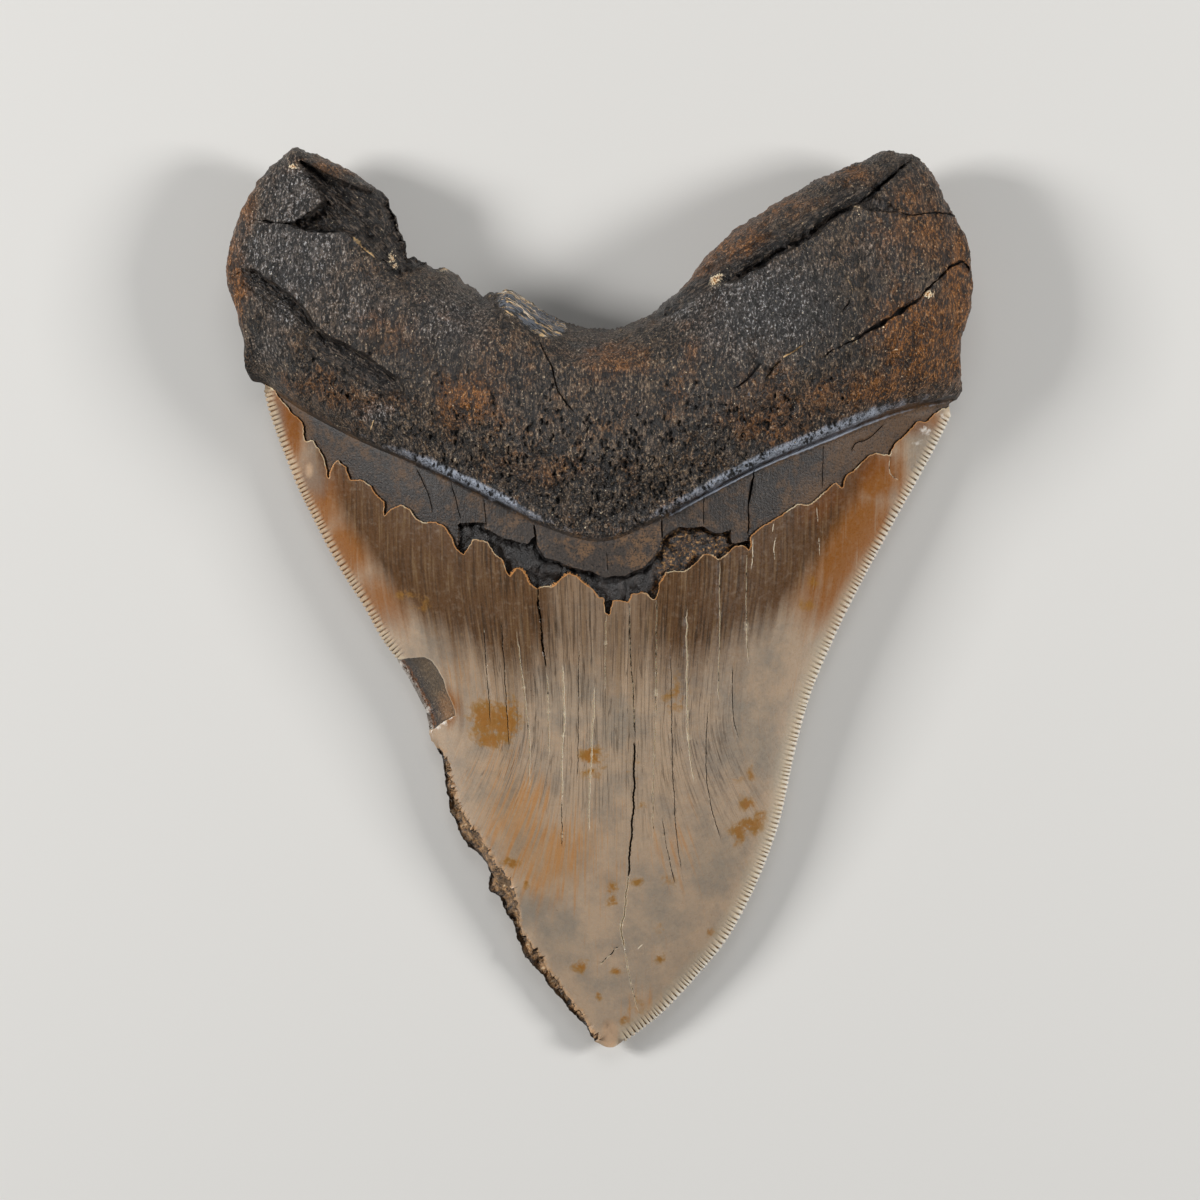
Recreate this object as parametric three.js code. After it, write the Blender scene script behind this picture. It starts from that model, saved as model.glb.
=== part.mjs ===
// A fossil megalodon tooth, in one piece: a thick two-lobed root, a smooth dark band called the bourlette,
// and a serrated enamel crown. It lies on its flat outer face with the rounded inner face up.
// Millimetres. +X is to the right as seen from above, +Y runs from the tip towards the root, and +Z is up.
// The origin is on the surface that the tooth lies on, under the middle of its outline.
import * as THREE from "three";

// Driving dimensions
const TIP_Y = -72.6;
const CROWN_BASE_Y = 17; // the crown is thickest from here up
const ROOT_TOP_Y = 72.6;
const CROWN_SWELL = 20.5; // height of the crown's middle over its cutting edges, at the base
const CROWN_EDGE_HEIGHT = 3.2; // the cutting edges above the surface below
const ROOT_RIM_HEIGHT = 10; // the widest line round the root, above the surface below
const ROOT_FLANK = 10; // how far in from the rim the root is rounded
const ROOT_BULGE = 4.2; // swelling of the root over the line of the crown
const ROOT_WIDENING = 17; // the root's section is wider than the crown's by this on each side
const LIP_HEIGHT = 1.5; // step from the bourlette up on to the root
const ENAMEL_THICKNESS = 0.55; // step from the bourlette up on to the enamel
const SERRATION_PITCH = 0.75;
const SERRATION_DEPTH = 0.32;
const RIM_THICKNESS = 0.8; // upright band all round, which the serrations are cut in

// Smaller shape values
const CROWN_RISE = 1.6; // power of the crown's rise from tip to base
const CROWN_SECTION = 0.85; // power of the crown's cross-section: 1 is a parabola, less is fuller
const CROWN_BEVEL = 1.3; // width of the ground strip along the cutting edges
const ROOT_THINNING = 0.3; // share of the swell that the root loses towards its lobes
const ROOT_BULGE_RUN = 14;
const LIP_RUN = 1.6;
const LIP_SLOPE = 0.8; // run of a tall lip, as a share of its height
const LIP_GROOVE = { depth: 0.5, width: 1.1 };
const OUTER_FACE_RUN = { crown: 13, root: 9 }; // width of the curved margin round the flat outer face
const OUTER_FACE_EASE = 0.35; // share of a soft ease in the curve of that margin
const ROOT_BLEND = { from: 32, run: 8 }; // the rim turns from crown to root over this stretch of Y
const SCAR_LUMPS = { height: 0.45, waves: [[1.7, 0.6], [-0.8, 1.3]] }; // waves in radians per millimetre
const OUTER_HOLLOW = { x: 0, y: 33, radius: 17, depth: 1.4 }; // shallow hollow in the root's outer face

// Facet sizes
const OUTLINE_STEP = 1.7;
const INNER_FACE_STEP = 2.7;
const OUTER_FACE_STEP = 5.5;
const FEATURE_STEP = 1.6;
const GRID_HALF_WIDTH = 61;
const GRID_CLEARANCE = 0.62; // how near grid points may come, as a share of the step
const GRID_NUDGE = 0.1; // unevenness of the grid, as a share of the step
const NUDGE_WAVE = { x: 12.9, y: 78.2 }; // so fast that neighbouring points move differently
const CLEARANCE = { fine: 0.45, serration: 0.6, line: 0.7 };
const ENAMEL_EDGE_SIDES = [-0.25, 0.25]; // distances of sharp lines from the enamel's edge
const LIP_SIDES = [-0.3, 0.5, LIP_RUN];
const INNER_RIM_RINGS = [0.9, 2.6]; // distances of rings of points from the outline
const OUTER_RIM_RINGS = [0.9, 2.6, 5];

// Outline, clockwise from the left shoulder, in named stretches that share their end points
const LEFT_ROOT_SIDE = [
  [-55.8, 35.3], [-57.1, 36.6], [-57.7, 42.3], [-59.9, 51.6], [-58.7, 59.7], [-53.7, 69.2], [-51, 71.6],
];
const LEFT_LOBE_CREST = [[-51, 71.6], [-49.2, 72.6], [-45.5, 71.8], [-38.4, 67.9], [-34.4, 65]];
const BROKEN_LOBE = [[-34.4, 65], [-32.6, 59.7], [-31.1, 55.3]];
const BROKEN_CLEFT = [
  [-31.1, 55.3], [-30, 55.4], [-26.3, 53.4], [-25.2, 53.8], [-22.6, 51.6], [-18.7, 48.7], [-15.3, 50.2],
  [-13.9, 50.1], [-12.1, 48.7],
];
const CLEFT = [[-12.1, 48.7], [-6.5, 45.2], [0, 43.5], [6.6, 45.3], [11.9, 49.5], [16.5, 54.8]];
const RIGHT_LOBE = [
  [16.5, 54.8], [24.2, 61.3], [34.2, 67.3], [45.2, 72.2], [47.6, 72.5], [52.6, 70.2], [58.7, 60],
  [60.1, 52.9], [59.4, 45.3], [58, 39.5], [58.5, 33.9],
];
const RIGHT_SHOULDER = [[58.5, 33.9], [57.9, 32.7], [56.8, 31.7], [57, 29.8]];
const RIGHT_CUTTING_EDGE = [
  [57, 29.8], [46.8, 10.8], [36.5, -9.7], [32.1, -22.9], [29.4, -35.2], [24.5, -48.1], [15.6, -61.3],
  [4, -71.8],
];
const TIP = [[4, -71.8], [1.6, -72.6], [-0.2, -72]];
const BROKEN_EDGE = [
  [-0.2, -72], [-3.7, -67.7], [-8.2, -62.6], [-11.6, -58.4], [-13.5, -54.4], [-16.3, -48.2],
  [-18.1, -46.8], [-17.7, -44.5], [-20, -41.1], [-22.6, -38.4], [-23.2, -36.1], [-24.4, -34.4],
  [-24.6, -31], [-25.6, -25.3], [-27.3, -22.9], [-27.7, -21.1],
];
const CHIPPED_EDGE = [[-27.7, -21.1], [-28.2, -18.2], [-30.5, -13.7], [-32.9, -9.8]];
const LEFT_CUTTING_EDGE = [
  [-32.9, -9.8], [-38.4, -1.1], [-44.2, 8.4], [-48.9, 17.7], [-52.4, 26.5], [-54.6, 34.2],
];
const LEFT_SHOULDER = [[-54.6, 34.2], [-54.6, 34.9], [-55.8, 35.3]];

// Where the left cutting edge ran before it broke, from the left cutting edge's foot down to the tip
const LOST_EDGE = [[-32.9, -9.8], [-25.8, -25.3], [-21.9, -38.7], [-11.3, -57.3], [-0.2, -72]];

// Lower edge of the root, left to right
const LIP = [
  [-57, 36], [-48.4, 31], [-38.7, 25.8], [-25.8, 20.3], [-8.9, 11.9], [0, 9.5], [8.1, 12.4], [25.8, 21.8],
  [45.2, 29.7], [58.4, 32.9],
];

// Torn upper edge of the enamel, left to right. Each row is one scallop, up to the next fissure.
const ENAMEL_EDGE = [
  [[-54.6, 34.9], [-52.6, 33.9], [-51.3, 31.9], [-48.2, 28.7], [-47.6, 25.8]],
  [[-46.5, 25.8], [-45.2, 24.4], [-44.4, 22.3], [-43.9, 19.7]],
  [[-43.2, 21.9], [-42.3, 22.6], [-41, 21.6], [-40.2, 19.4]],
  [[-38.7, 19.5], [-36.9, 18.5], [-35.8, 16.6], [-34.8, 15.8], [-34.7, 13.7]],
  [[-33.7, 14.7], [-31.9, 15.5], [-30.6, 14.7], [-28.2, 12.4]],
  [[-26.5, 12.6], [-25.2, 12.1], [-23.9, 10.5], [-23.1, 8.4], [-21.9, 7.3]],
  [[-20.3, 9.8], [-17.9, 9.4], [-15.6, 6.3], [-14.4, 3.7]],
  [[-13.4, 5.3], [-12.3, 4.8], [-11.3, 2.9], [-10, 1.9]],
  [[-7.4, 2.3], [-5, 4.2], [-2.6, 2.7], [-0.3, 0.5], [1.2, -2.1]],
  [[1.9, -0.2], [4.5, -0.2], [6.5, 1.3], [8.6, 0.2]],
  [[9.5, 2.7], [10.5, 4.4], [13.5, 4.5], [16.6, 7.3], [17.9, 7.3], [19, 6.5]],
  [[20.5, 7.7], [22.4, 8.9], [23.9, 8.1]],
  [[24.2, 10.3], [27.4, 12.6], [31.6, 15.3], [33.9, 15.5], [36.8, 18.2], [38.1, 19], [39, 18.1]],
  [[39.7, 20.3], [41.9, 21.8], [44.5, 23.7], [46.8, 23.4]],
  [[47.7, 25.3], [51.3, 28.9], [52.9, 28.9], [55.5, 31.1], [57, 31.3]],
].flat();

// Points far outside the outline, which close the enamel's area round the tip
const ROUND_THE_TIP = [[70, 0], [0, -90], [-70, 0]];

// Open cracks in the root's inner face: route, half width and depth
const CRACKS = [
  {
    route: [
      [50, 71], [45.2, 66.6], [39.5, 63], [33.2, 58.7], [24.2, 55.2], [16.1, 50.8], [9, 45.7],
    ],
    half: 1.3,
    depth: 2.2,
  },
  { route: [[59.6, 53.1], [55.6, 53], [48.4, 46.8], [41.5, 43.1], [35.5, 38.7]], half: 0.6, depth: 1.2 },
  { route: [[38.4, 45.8], [32.3, 40.6], [26.1, 35.2]], half: 0.5, depth: 0.9 },
  {
    route: [[-58, 52.9], [-54.5, 51.6], [-46.5, 43.5], [-38.7, 39.5], [-34.7, 36.3], [-32.3, 33.5]],
    half: 1.2,
    depth: 1.8,
  },
];

// Scars where flakes broke away from the inner face: outline, depth, and the run over which the wall falls
const SCARS = [
  {
    // the upper half of the left lobe
    edge: [
      [-48.4, 70.4], [-44.8, 67], [-45.3, 63.2], [-54, 61.2], [-43.5, 58.4], [-36, 55.6], [-32.6, 52.2],
      [-29.4, 54], [-31.5, 58.4], [-34, 64.8], [-40.5, 68.2],
    ],
    depth: 3.6,
    run: 2.2,
  },
  {
    // a shell-shaped flake off the left cutting edge
    edge: [
      [-33.5, -9.5], [-28.4, -9.4], [-26.6, -10.5], [-24.5, -15], [-23.4, -18.4], [-26, -20.2],
      [-28.5, -21.5], [-32, -14],
    ],
    depth: 2.4,
    run: 3,
  },
  {
    // the middle of the bourlette
    edge: [
      [-10.5, 8], [-3.2, 5], [5, 4.6], [9.7, 8.7], [12.5, 11.8], [21, 11], [16.6, 7.8], [9.3, 4], [1, 0],
      [-8.5, 3],
    ],
    depth: 1.1,
    run: 1,
  },
];

const vectors = (points) => points.map(([x, y]) => new THREE.Vector2(x, y));
const smooth = (share) => THREE.MathUtils.smoothstep(share, 0, 1);
const quarterRound = (share) => Math.sqrt(1 - (1 - Math.min(share, 1)) ** 2);

// Points at an even step along a smooth curve through the given points
function alongCurve(points, step) {
  const curve = new THREE.SplineCurve(vectors(points));
  return curve.getSpacedPoints(Math.max(2, Math.round(curve.getLength() / step)));
}

// The given points with their straight sides cut into steps
function alongSides(points, step) {
  const corners = vectors(points);
  return corners.flatMap((corner, i) => {
    const next = corners[i + 1];
    if (!next) return [corner];
    const parts = Math.ceil(corner.distanceTo(next) / step);
    return Array.from({ length: parts }, (_, k) => corner.clone().lerp(next, k / parts));
  });
}

// A cutting edge: tips on the curve, with a notch between each pair of tips
function serrated(points) {
  const tips = alongCurve(points, SERRATION_PITCH);
  const withNotches = [];
  tips.forEach((tip, i) => {
    withNotches.push(tip);
    const next = tips[i + 1];
    if (!next) return;
    const along = next.clone().sub(tip).normalize();
    const inward = new THREE.Vector2(along.y, -along.x);
    withNotches.push(tip.clone().lerp(next, 0.5).addScaledVector(inward, SERRATION_DEPTH));
  });
  return withNotches;
}

// Joins stretches that share their end points into one closed ring
const ring = (stretches) => stretches.flatMap((points) => points.slice(0, -1));

const outlineOf = (cuttingEdge) =>
  ring([
    alongCurve(LEFT_ROOT_SIDE, OUTLINE_STEP),
    alongCurve(LEFT_LOBE_CREST, OUTLINE_STEP),
    alongSides(BROKEN_LOBE, OUTLINE_STEP),
    alongSides(BROKEN_CLEFT, OUTLINE_STEP),
    alongCurve(CLEFT, OUTLINE_STEP),
    alongCurve(RIGHT_LOBE, OUTLINE_STEP),
    alongSides(RIGHT_SHOULDER, OUTLINE_STEP),
    cuttingEdge(RIGHT_CUTTING_EDGE),
    alongSides(TIP, OUTLINE_STEP),
    alongSides(BROKEN_EDGE, OUTLINE_STEP),
    alongSides(CHIPPED_EDGE, OUTLINE_STEP),
    cuttingEdge(LEFT_CUTTING_EDGE),
    alongSides(LEFT_SHOULDER, OUTLINE_STEP),
  ]);

const outline = outlineOf(serrated);
const plainOutline = outlineOf((points) => alongCurve(points, OUTLINE_STEP));
const rightEdge = alongCurve(RIGHT_CUTTING_EDGE, FEATURE_STEP);
const leftEdge = [
  ...alongCurve(LEFT_CUTTING_EDGE, FEATURE_STEP).toReversed(),
  ...alongCurve(LOST_EDGE, FEATURE_STEP).slice(1),
];
const lip = alongCurve(LIP, FEATURE_STEP);
const enamelEdge = vectors(ENAMEL_EDGE);
const crownArea = vectors([...ENAMEL_EDGE, ...ROUND_THE_TIP]);
const cracks = CRACKS.map((crack) => ({ ...crack, line: alongCurve(crack.route, FEATURE_STEP) }));
const scars = SCARS.map((scar) => {
  const closedEdge = [...scar.edge, scar.edge[0]];
  return { ...scar, ring: ring([alongSides(closedEdge, FEATURE_STEP)]) };
});

// Distance from a point to a line of points, closed or open
function distanceTo(line, point, closed) {
  const segment = new THREE.Vector2();
  const reach = new THREE.Vector2();
  let nearest = Infinity;
  for (let i = closed ? 0 : 1; i < line.length; i++) {
    const from = line.at(i - 1);
    segment.subVectors(line[i], from);
    reach.subVectors(point, from);
    const share = THREE.MathUtils.clamp(reach.dot(segment) / segment.lengthSq(), 0, 1);
    nearest = Math.min(nearest, reach.addScaledVector(segment, -share).lengthSq());
  }
  return Math.sqrt(nearest);
}

function isInside(area, point) {
  let inside = false;
  area.forEach((to, i) => {
    const from = area.at(i - 1);
    if (to.y > point.y === from.y > point.y) return;
    if (point.x < from.x + ((point.y - from.y) / (to.y - from.y)) * (to.x - from.x)) inside = !inside;
  });
  return inside;
}

// One coordinate of a line read off at a value of the other, held at its end values beyond its ends
function readOff(line, given, wanted, value) {
  const rising = line.at(-1)[given] > line[0][given] ? line : line.toReversed();
  const next = rising.findIndex((point) => point[given] > value);
  if (next === 0) return rising[0][wanted];
  if (next < 0) return rising.at(-1)[wanted];
  const from = rising[next - 1];
  const to = rising[next];
  return THREE.MathUtils.mapLinear(value, from[given], to[given], from[wanted], to[wanted]);
}

const rootShare = (y) => smooth((y - ROOT_BLEND.from) / ROOT_BLEND.run);
const lowerRim = (y) => THREE.MathUtils.lerp(CROWN_EDGE_HEIGHT, ROOT_RIM_HEIGHT, rootShare(y));
const upperRim = (y) => lowerRim(y) + RIM_THICKNESS;

// A lens-shaped section between the cutting edges, rising from tip to base and thinning over the root
function core(point, widening) {
  const left = readOff(leftEdge, "y", "x", point.y) - widening;
  const right = readOff(rightEdge, "y", "x", point.y) + widening;
  const across = THREE.MathUtils.clamp((2 * point.x - left - right) / (right - left), -1, 1);
  const up = THREE.MathUtils.clamp((point.y - TIP_Y) / (CROWN_BASE_Y - TIP_Y), 0, 1);
  const rootUp = Math.max(0, (point.y - CROWN_BASE_Y) / (ROOT_TOP_Y - CROWN_BASE_Y));
  const swell = CROWN_SWELL * (1 - (1 - up) ** CROWN_RISE) * (1 - ROOT_THINNING * rootUp ** 2);
  return CROWN_EDGE_HEIGHT + swell * (1 - across ** 2) ** CROWN_SECTION;
}

// The inner face before its margin is rounded and its breaks are taken out: enamel, bourlette and root
function wholeFace(point) {
  const crown = core(point, 0);
  if (isInside(crownArea, point)) return crown + ENAMEL_THICKNESS;
  const overLip = point.y - readOff(lip, "x", "y", point.x);
  if (overLip < 0) return crown - LIP_GROOVE.depth * Math.exp(-((overLip / LIP_GROOVE.width) ** 2));
  const root = core(point, ROOT_WIDENING) + LIP_HEIGHT + ROOT_BULGE * smooth(overLip / ROOT_BULGE_RUN);
  const run = Math.max(LIP_RUN, LIP_SLOPE * (root - crown));
  return THREE.MathUtils.lerp(crown, root, quarterRound(overLip / run));
}

function scarLumps(point) {
  const [first, second] = SCAR_LUMPS.waves.map(([x, y]) => Math.sin(x * point.x + y * point.y));
  return SCAR_LUMPS.height * first * second;
}

// Depth that cracks and scars take off the inner face
function lost(point) {
  let depth = 0;
  for (const crack of cracks) {
    const share = distanceTo(crack.line, point, false) / crack.half;
    if (share < 1) depth = Math.max(depth, crack.depth * (1 - share ** 2));
  }
  for (const scar of scars) {
    if (!isInside(scar.ring, point)) continue;
    const fall = quarterRound(distanceTo(scar.ring, point, true) / scar.run);
    depth = Math.max(depth, (scar.depth + scarLumps(point)) * fall);
  }
  return depth;
}

// Height of the flat outer face, which is down
function outerFace(point) {
  const margin = distanceTo(plainOutline, point, true);
  const run = THREE.MathUtils.lerp(OUTER_FACE_RUN.crown, OUTER_FACE_RUN.root, rootShare(point.y));
  const away = Math.hypot(point.x - OUTER_HOLLOW.x, point.y - OUTER_HOLLOW.y) / OUTER_HOLLOW.radius;
  const hollow = OUTER_HOLLOW.depth * smooth(1 - away);
  const round = THREE.MathUtils.lerp(quarterRound(margin / run), smooth(margin / run), OUTER_FACE_EASE);
  return lowerRim(point.y) * (1 - round) + hollow;
}

// Height of the rounded inner face, which is up
function innerFace(point) {
  const rim = upperRim(point.y);
  const margin = distanceTo(plainOutline, point, true);
  const flank = THREE.MathUtils.lerp(CROWN_BEVEL, ROOT_FLANK, rootShare(point.y));
  const face = Math.max(rim, wholeFace(point));
  const height = rim + (face - rim) * quarterRound(margin / flank) - lost(point);
  return Math.max(height, outerFace(point) + RIM_THICKNESS);
}

// A line moved sideways, to its left for a positive distance
function beside(line, distance) {
  return line.map((point, i) => {
    const before = line[Math.max(i - 1, 0)];
    const after = line[Math.min(i + 1, line.length - 1)];
    const along = after.clone().sub(before).normalize();
    return new THREE.Vector2(point.x - along.y * distance, point.y + along.x * distance);
  });
}

// Points of a face: the outline, the lines that have to stay sharp, and a grid that fills the rest.
// Each point keeps clear of the outline and of the points before it.
function facePoints(lines, step) {
  const points = [...outline];
  const add = (point, clearance) => {
    if (!isInside(plainOutline, point) || distanceTo(outline, point, true) < clearance) return;
    if (points.every((other) => other.distanceTo(point) >= clearance)) points.push(point);
  };
  for (const { line, clearance } of lines) line.forEach((point) => add(point, clearance));
  const rowStep = (step * Math.sqrt(3)) / 2;
  for (let row = 0, y = TIP_Y; y < ROOT_TOP_Y; row++, y += rowStep) {
    for (let x = (row % 2) * (step / 2) - GRID_HALF_WIDTH; x < GRID_HALF_WIDTH; x += step) {
      const nudge = GRID_NUDGE * step * Math.sin(NUDGE_WAVE.x * x + NUDGE_WAVE.y * y);
      add(new THREE.Vector2(x + nudge, y - nudge), GRID_CLEARANCE * step);
    }
  }
  return points;
}

// Delaunay triangles over a set of points, by adding the points one at a time
function triangulate(points) {
  const far = 1e4; // the first triangle's corners, well away from all the points
  const all = [...points, ...vectors([[-far, -far], [far, -far], [0, far]])];
  const triangle = (a, b, c) => {
    const ab = all[b].clone().sub(all[a]);
    const ac = all[c].clone().sub(all[a]);
    const scale = 1 / (2 * ab.cross(ac));
    const toCentre = new THREE.Vector2(
      (ac.y * ab.lengthSq() - ab.y * ac.lengthSq()) * scale,
      (ab.x * ac.lengthSq() - ac.x * ab.lengthSq()) * scale,
    );
    return { corners: [a, b, c], centre: toCentre.clone().add(all[a]), reach: toCentre.lengthSq() };
  };
  let triangles = [triangle(points.length, points.length + 1, points.length + 2)];
  points.forEach((point, i) => {
    const border = new Map();
    triangles = triangles.filter(({ corners, centre, reach }) => {
      if (centre.distanceToSquared(point) > reach) return true;
      corners.forEach((a, k) => {
        const b = corners[(k + 1) % 3];
        if (!border.delete(`${b},${a}`)) border.set(`${a},${b}`, [a, b]);
      });
      return false;
    });
    for (const [a, b] of border.values()) triangles.push(triangle(a, b, i));
  });
  const middle = new THREE.Vector2();
  return triangles
    .map(({ corners }) => corners)
    .filter((corners) => {
      if (corners.some((corner) => corner >= points.length)) return false;
      middle.set(0, 0);
      corners.forEach((corner) => middle.addScaledVector(points[corner], 1 / 3));
      return isInside(outline, middle);
    });
}

function toothGeometry() {
  const serrationFoot = (edge) => beside(alongCurve(edge, SERRATION_PITCH), -CROWN_BEVEL);
  const feet = [RIGHT_CUTTING_EDGE, LEFT_CUTTING_EDGE].map((edge) => ({
    line: serrationFoot(edge),
    clearance: CLEARANCE.serration,
  }));
  const rings = (distances) =>
    distances.map((distance) => ({
      line: beside(plainOutline, -distance),
      clearance: CLEARANCE.line * distance,
    }));
  const sideLines = (line, sides, clearance) =>
    sides.map((side) => ({ line: beside(line, side), clearance }));
  const sharpLines = [
    ...feet,
    ...sideLines(enamelEdge, ENAMEL_EDGE_SIDES, CLEARANCE.fine),
    ...sideLines(lip, LIP_SIDES, CLEARANCE.line),
    ...cracks.flatMap(({ line, half }) => sideLines(line, [0, -half, half], CLEARANCE.fine)),
    ...scars.flatMap(({ ring: edge, run }) => sideLines(edge, [0, -run / 3, -run], CLEARANCE.line)),
    ...rings(INNER_RIM_RINGS),
  ];
  const inner = facePoints(sharpLines, INNER_FACE_STEP);
  const outer = facePoints([...feet, ...rings(OUTER_RIM_RINGS)], OUTER_FACE_STEP);
  const positions = [
    ...outline.map(({ x, y }) => [x, y, upperRim(y)]),
    ...inner.slice(outline.length).map((point) => [point.x, point.y, innerFace(point)]),
    ...outline.map(({ x, y }) => [x, y, lowerRim(y)]),
    ...outer.slice(outline.length).map((point) => [point.x, point.y, outerFace(point)]),
  ];
  const lower = (corner) => corner + inner.length;
  const rimBand = outline.flatMap((_, i) => {
    const next = (i + 1) % outline.length;
    return [[i, next, lower(next)], [i, lower(next), lower(i)]];
  });
  const triangles = [
    ...triangulate(inner),
    ...triangulate(outer).map((corners) => corners.map(lower).reverse()),
    ...rimBand,
  ];
  const geometry = new THREE.BufferGeometry();
  geometry.setAttribute("position", new THREE.Float32BufferAttribute(positions.flat(), 3));
  geometry.setIndex(triangles.flat());
  geometry.computeVertexNormals();
  return geometry;
}

const fossil = new THREE.MeshStandardMaterial({ color: 0x6e5a48, roughness: 0.5, metalness: 0 });
const tooth = new THREE.Mesh(toothGeometry(), fossil);
tooth.name = "tooth";

const root = new THREE.Group();
root.add(tooth);

export default root;
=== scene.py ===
import math

import bpy
import numpy as np
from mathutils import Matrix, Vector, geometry, kdtree


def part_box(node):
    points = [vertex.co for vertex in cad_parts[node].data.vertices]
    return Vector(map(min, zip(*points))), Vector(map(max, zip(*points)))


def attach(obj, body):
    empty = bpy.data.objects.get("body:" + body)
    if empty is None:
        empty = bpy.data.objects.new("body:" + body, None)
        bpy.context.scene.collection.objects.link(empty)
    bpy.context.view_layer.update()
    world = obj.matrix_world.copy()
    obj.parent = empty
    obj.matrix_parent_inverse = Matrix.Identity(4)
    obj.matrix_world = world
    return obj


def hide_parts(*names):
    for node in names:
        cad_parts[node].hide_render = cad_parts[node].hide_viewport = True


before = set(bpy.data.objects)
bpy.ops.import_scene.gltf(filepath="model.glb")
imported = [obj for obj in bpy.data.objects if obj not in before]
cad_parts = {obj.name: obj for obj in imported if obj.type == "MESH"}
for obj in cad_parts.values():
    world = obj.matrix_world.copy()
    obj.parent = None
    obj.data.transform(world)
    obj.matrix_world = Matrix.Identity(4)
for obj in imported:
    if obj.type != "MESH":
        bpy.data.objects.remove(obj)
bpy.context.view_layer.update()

MM = 0.001
SEED = 7
LOW, HIGH = (np.array(corner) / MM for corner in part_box("tooth"))

# Form: the main sizes are those of the solid
TIP_Y = LOW[1]
ROOT_TOP_Y = HIGH[1]
CROWN_BASE_Y = 17.0
CROWN_SWELL = 20.5
CROWN_EDGE_HEIGHT = 3.2
CROWN_RISE = 1.6
CROWN_SECTION = 0.85
CROWN_BEVEL = 1.3
ROOT_RIM_HEIGHT = 10.0
ROOT_FLANK = 10.0
ROOT_BULGE = 4.2
ROOT_BULGE_RUN = 14.0
ROOT_WIDENING = 17.0
ROOT_THINNING = 0.3
LIP_HEIGHT = 1.5
LIP_LEAST_HEIGHT = 0.3  # share of the height where the lip is faint
LIP_RUN = 2.2
LIP_SLOPE = 0.8
LIP_GROOVE_DEPTH = 0.5
LIP_GROOVE_WIDTH = 0.3
LIP_RIDGE_HEIGHT = 0.45
LIP_STRONG_PARTS = [(30.0, 17.0, 1.0), (-21.0, 10.0, 0.9)]  # x of the middle, half length and strength
LIP_LEAST_STRENGTH = 0.15
SECOND_LIP_HEIGHT = 0.35
ROOT_OVER_LIP = 0.3  # height over the lip from which the finish is the root's
ENAMEL_THICKNESS = 0.55
RIM_THICKNESS = 0.35
GAP_DEPTH = 0.9  # of the gap in the dark band
GAP_WALL = 0.35
UNDERCUT_DEPTH = 0.7
STRIP_DEPTH = 1.2  # of the crumbled strip
STRIP_WALL = 1.0
VALLEY_FADE = 0.2  # share of a valley's route over which it fades at each end
VALLEY_HOLLOWNESS = 1.4  # power that hollows the long side of a valley
OUTER_ROUND_SHARE = 0.65  # how far the margin of the outer face is a quarter round
OUTER_RUN_CROWN = 13.0
OUTER_RUN_ROOT = 9.0
OUTER_HOLLOW_Y = 33.0
OUTER_HOLLOW_RADIUS = 17.0
OUTER_HOLLOW_DEPTH = 1.4
OUTER_ROOT_SET_BACK = 0.6  # step from the outer face's enamel to its root
OUTER_ROUGHNESS = 0.25  # of the outer root where it is flat
OUTER_ROUGH_HEIGHT = 6.0  # from here up it is as rough as the rest of the root

# Serrations
SERRATION_PITCH = 0.75
SERRATION_DEPTH = 0.32
SERRATION_LENGTH = 2.1
SERRATION_STEPS = 6  # mesh points to each serration
SERRATION_SPREAD = (0.7, 1.3)  # length of each serration over the pitch

# Soft steps: where a change starts and the run that it takes, negative where it goes down or inwards
ROOT_FROM = (32.0, 8.0)  # y of the rim
SECOND_LIP_FROM = (9.0, 4.0)  # x
CRUMBLY_FROM = (7.0, 4.0)  # x in the gap of the band
ROUGH_FROM = (-0.4, 2.0)  # over the lip
BROWN_FROM = (-34.0, 20.0)  # over the lip
FAINT_BROWN_FROM = (-50.0, 18.0)  # over the lip
BROWN_FROM_MIDDLE = (4.0, 12.0)  # away from the middle of the crown
BROWN_FROM_RIGHT = (5.0, 7.0)  # away from the right cutting edge
BROWN_FROM_LEFT = (1.5, 8.0)  # away from the left cutting edge
LINED_FROM = (-47.0, 28.0)  # y
LINED_WITHIN = (27.0, -9.0)  # across the growth lines
PALE_EDGE_BELOW = (18.0, -20.0)  # y
NARROW_BELOW = (8.0, -30.0)  # y from which the growth lines draw together
FLARE_BELOW = (-18.0, -40.0)  # y from which the outer growth lines spread
FLARE_BESIDE = (0.0, 16.0)  # away from the middle of the growth lines

# Bands beside a line: the distance of their middle from the line, and their half width
LIP_RIDGE = (0.8, 0.6)
# Painted highlight along the lip
LIP_HIGHLIGHT = (0.85, 0.85)
# Painted shadow just under the lip
UNDER_LIP_SHADOW = (-0.05, 0.18)
SECOND_LIP = (-0.55, 0.25)
PLATE_UNDERCUT = (0.35, 0.4)
TORN_RIM = (0.0, 0.2)
BELOW_TORN = (0.0, 3.5)
STRIP_EDGE = (0.0, 0.35)
CHIP_EDGE = (0.0, 0.22)
# Painted light inside the right cutting edge
PALE_EDGE = (1.2, 1.6)

# Roughness, as a share of the root's
BAND_ROUGHNESS = 0.08
GAP_ROUGHNESS = 1.3
STRIP_ROUGHNESS = 1.2
LOBE_SPLITTING = 2.2
RIGHT_SPLITTING = 1.4
LEFT_SPLITTING = 0.3
BROKEN_SPLITTING = 1.2

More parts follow.
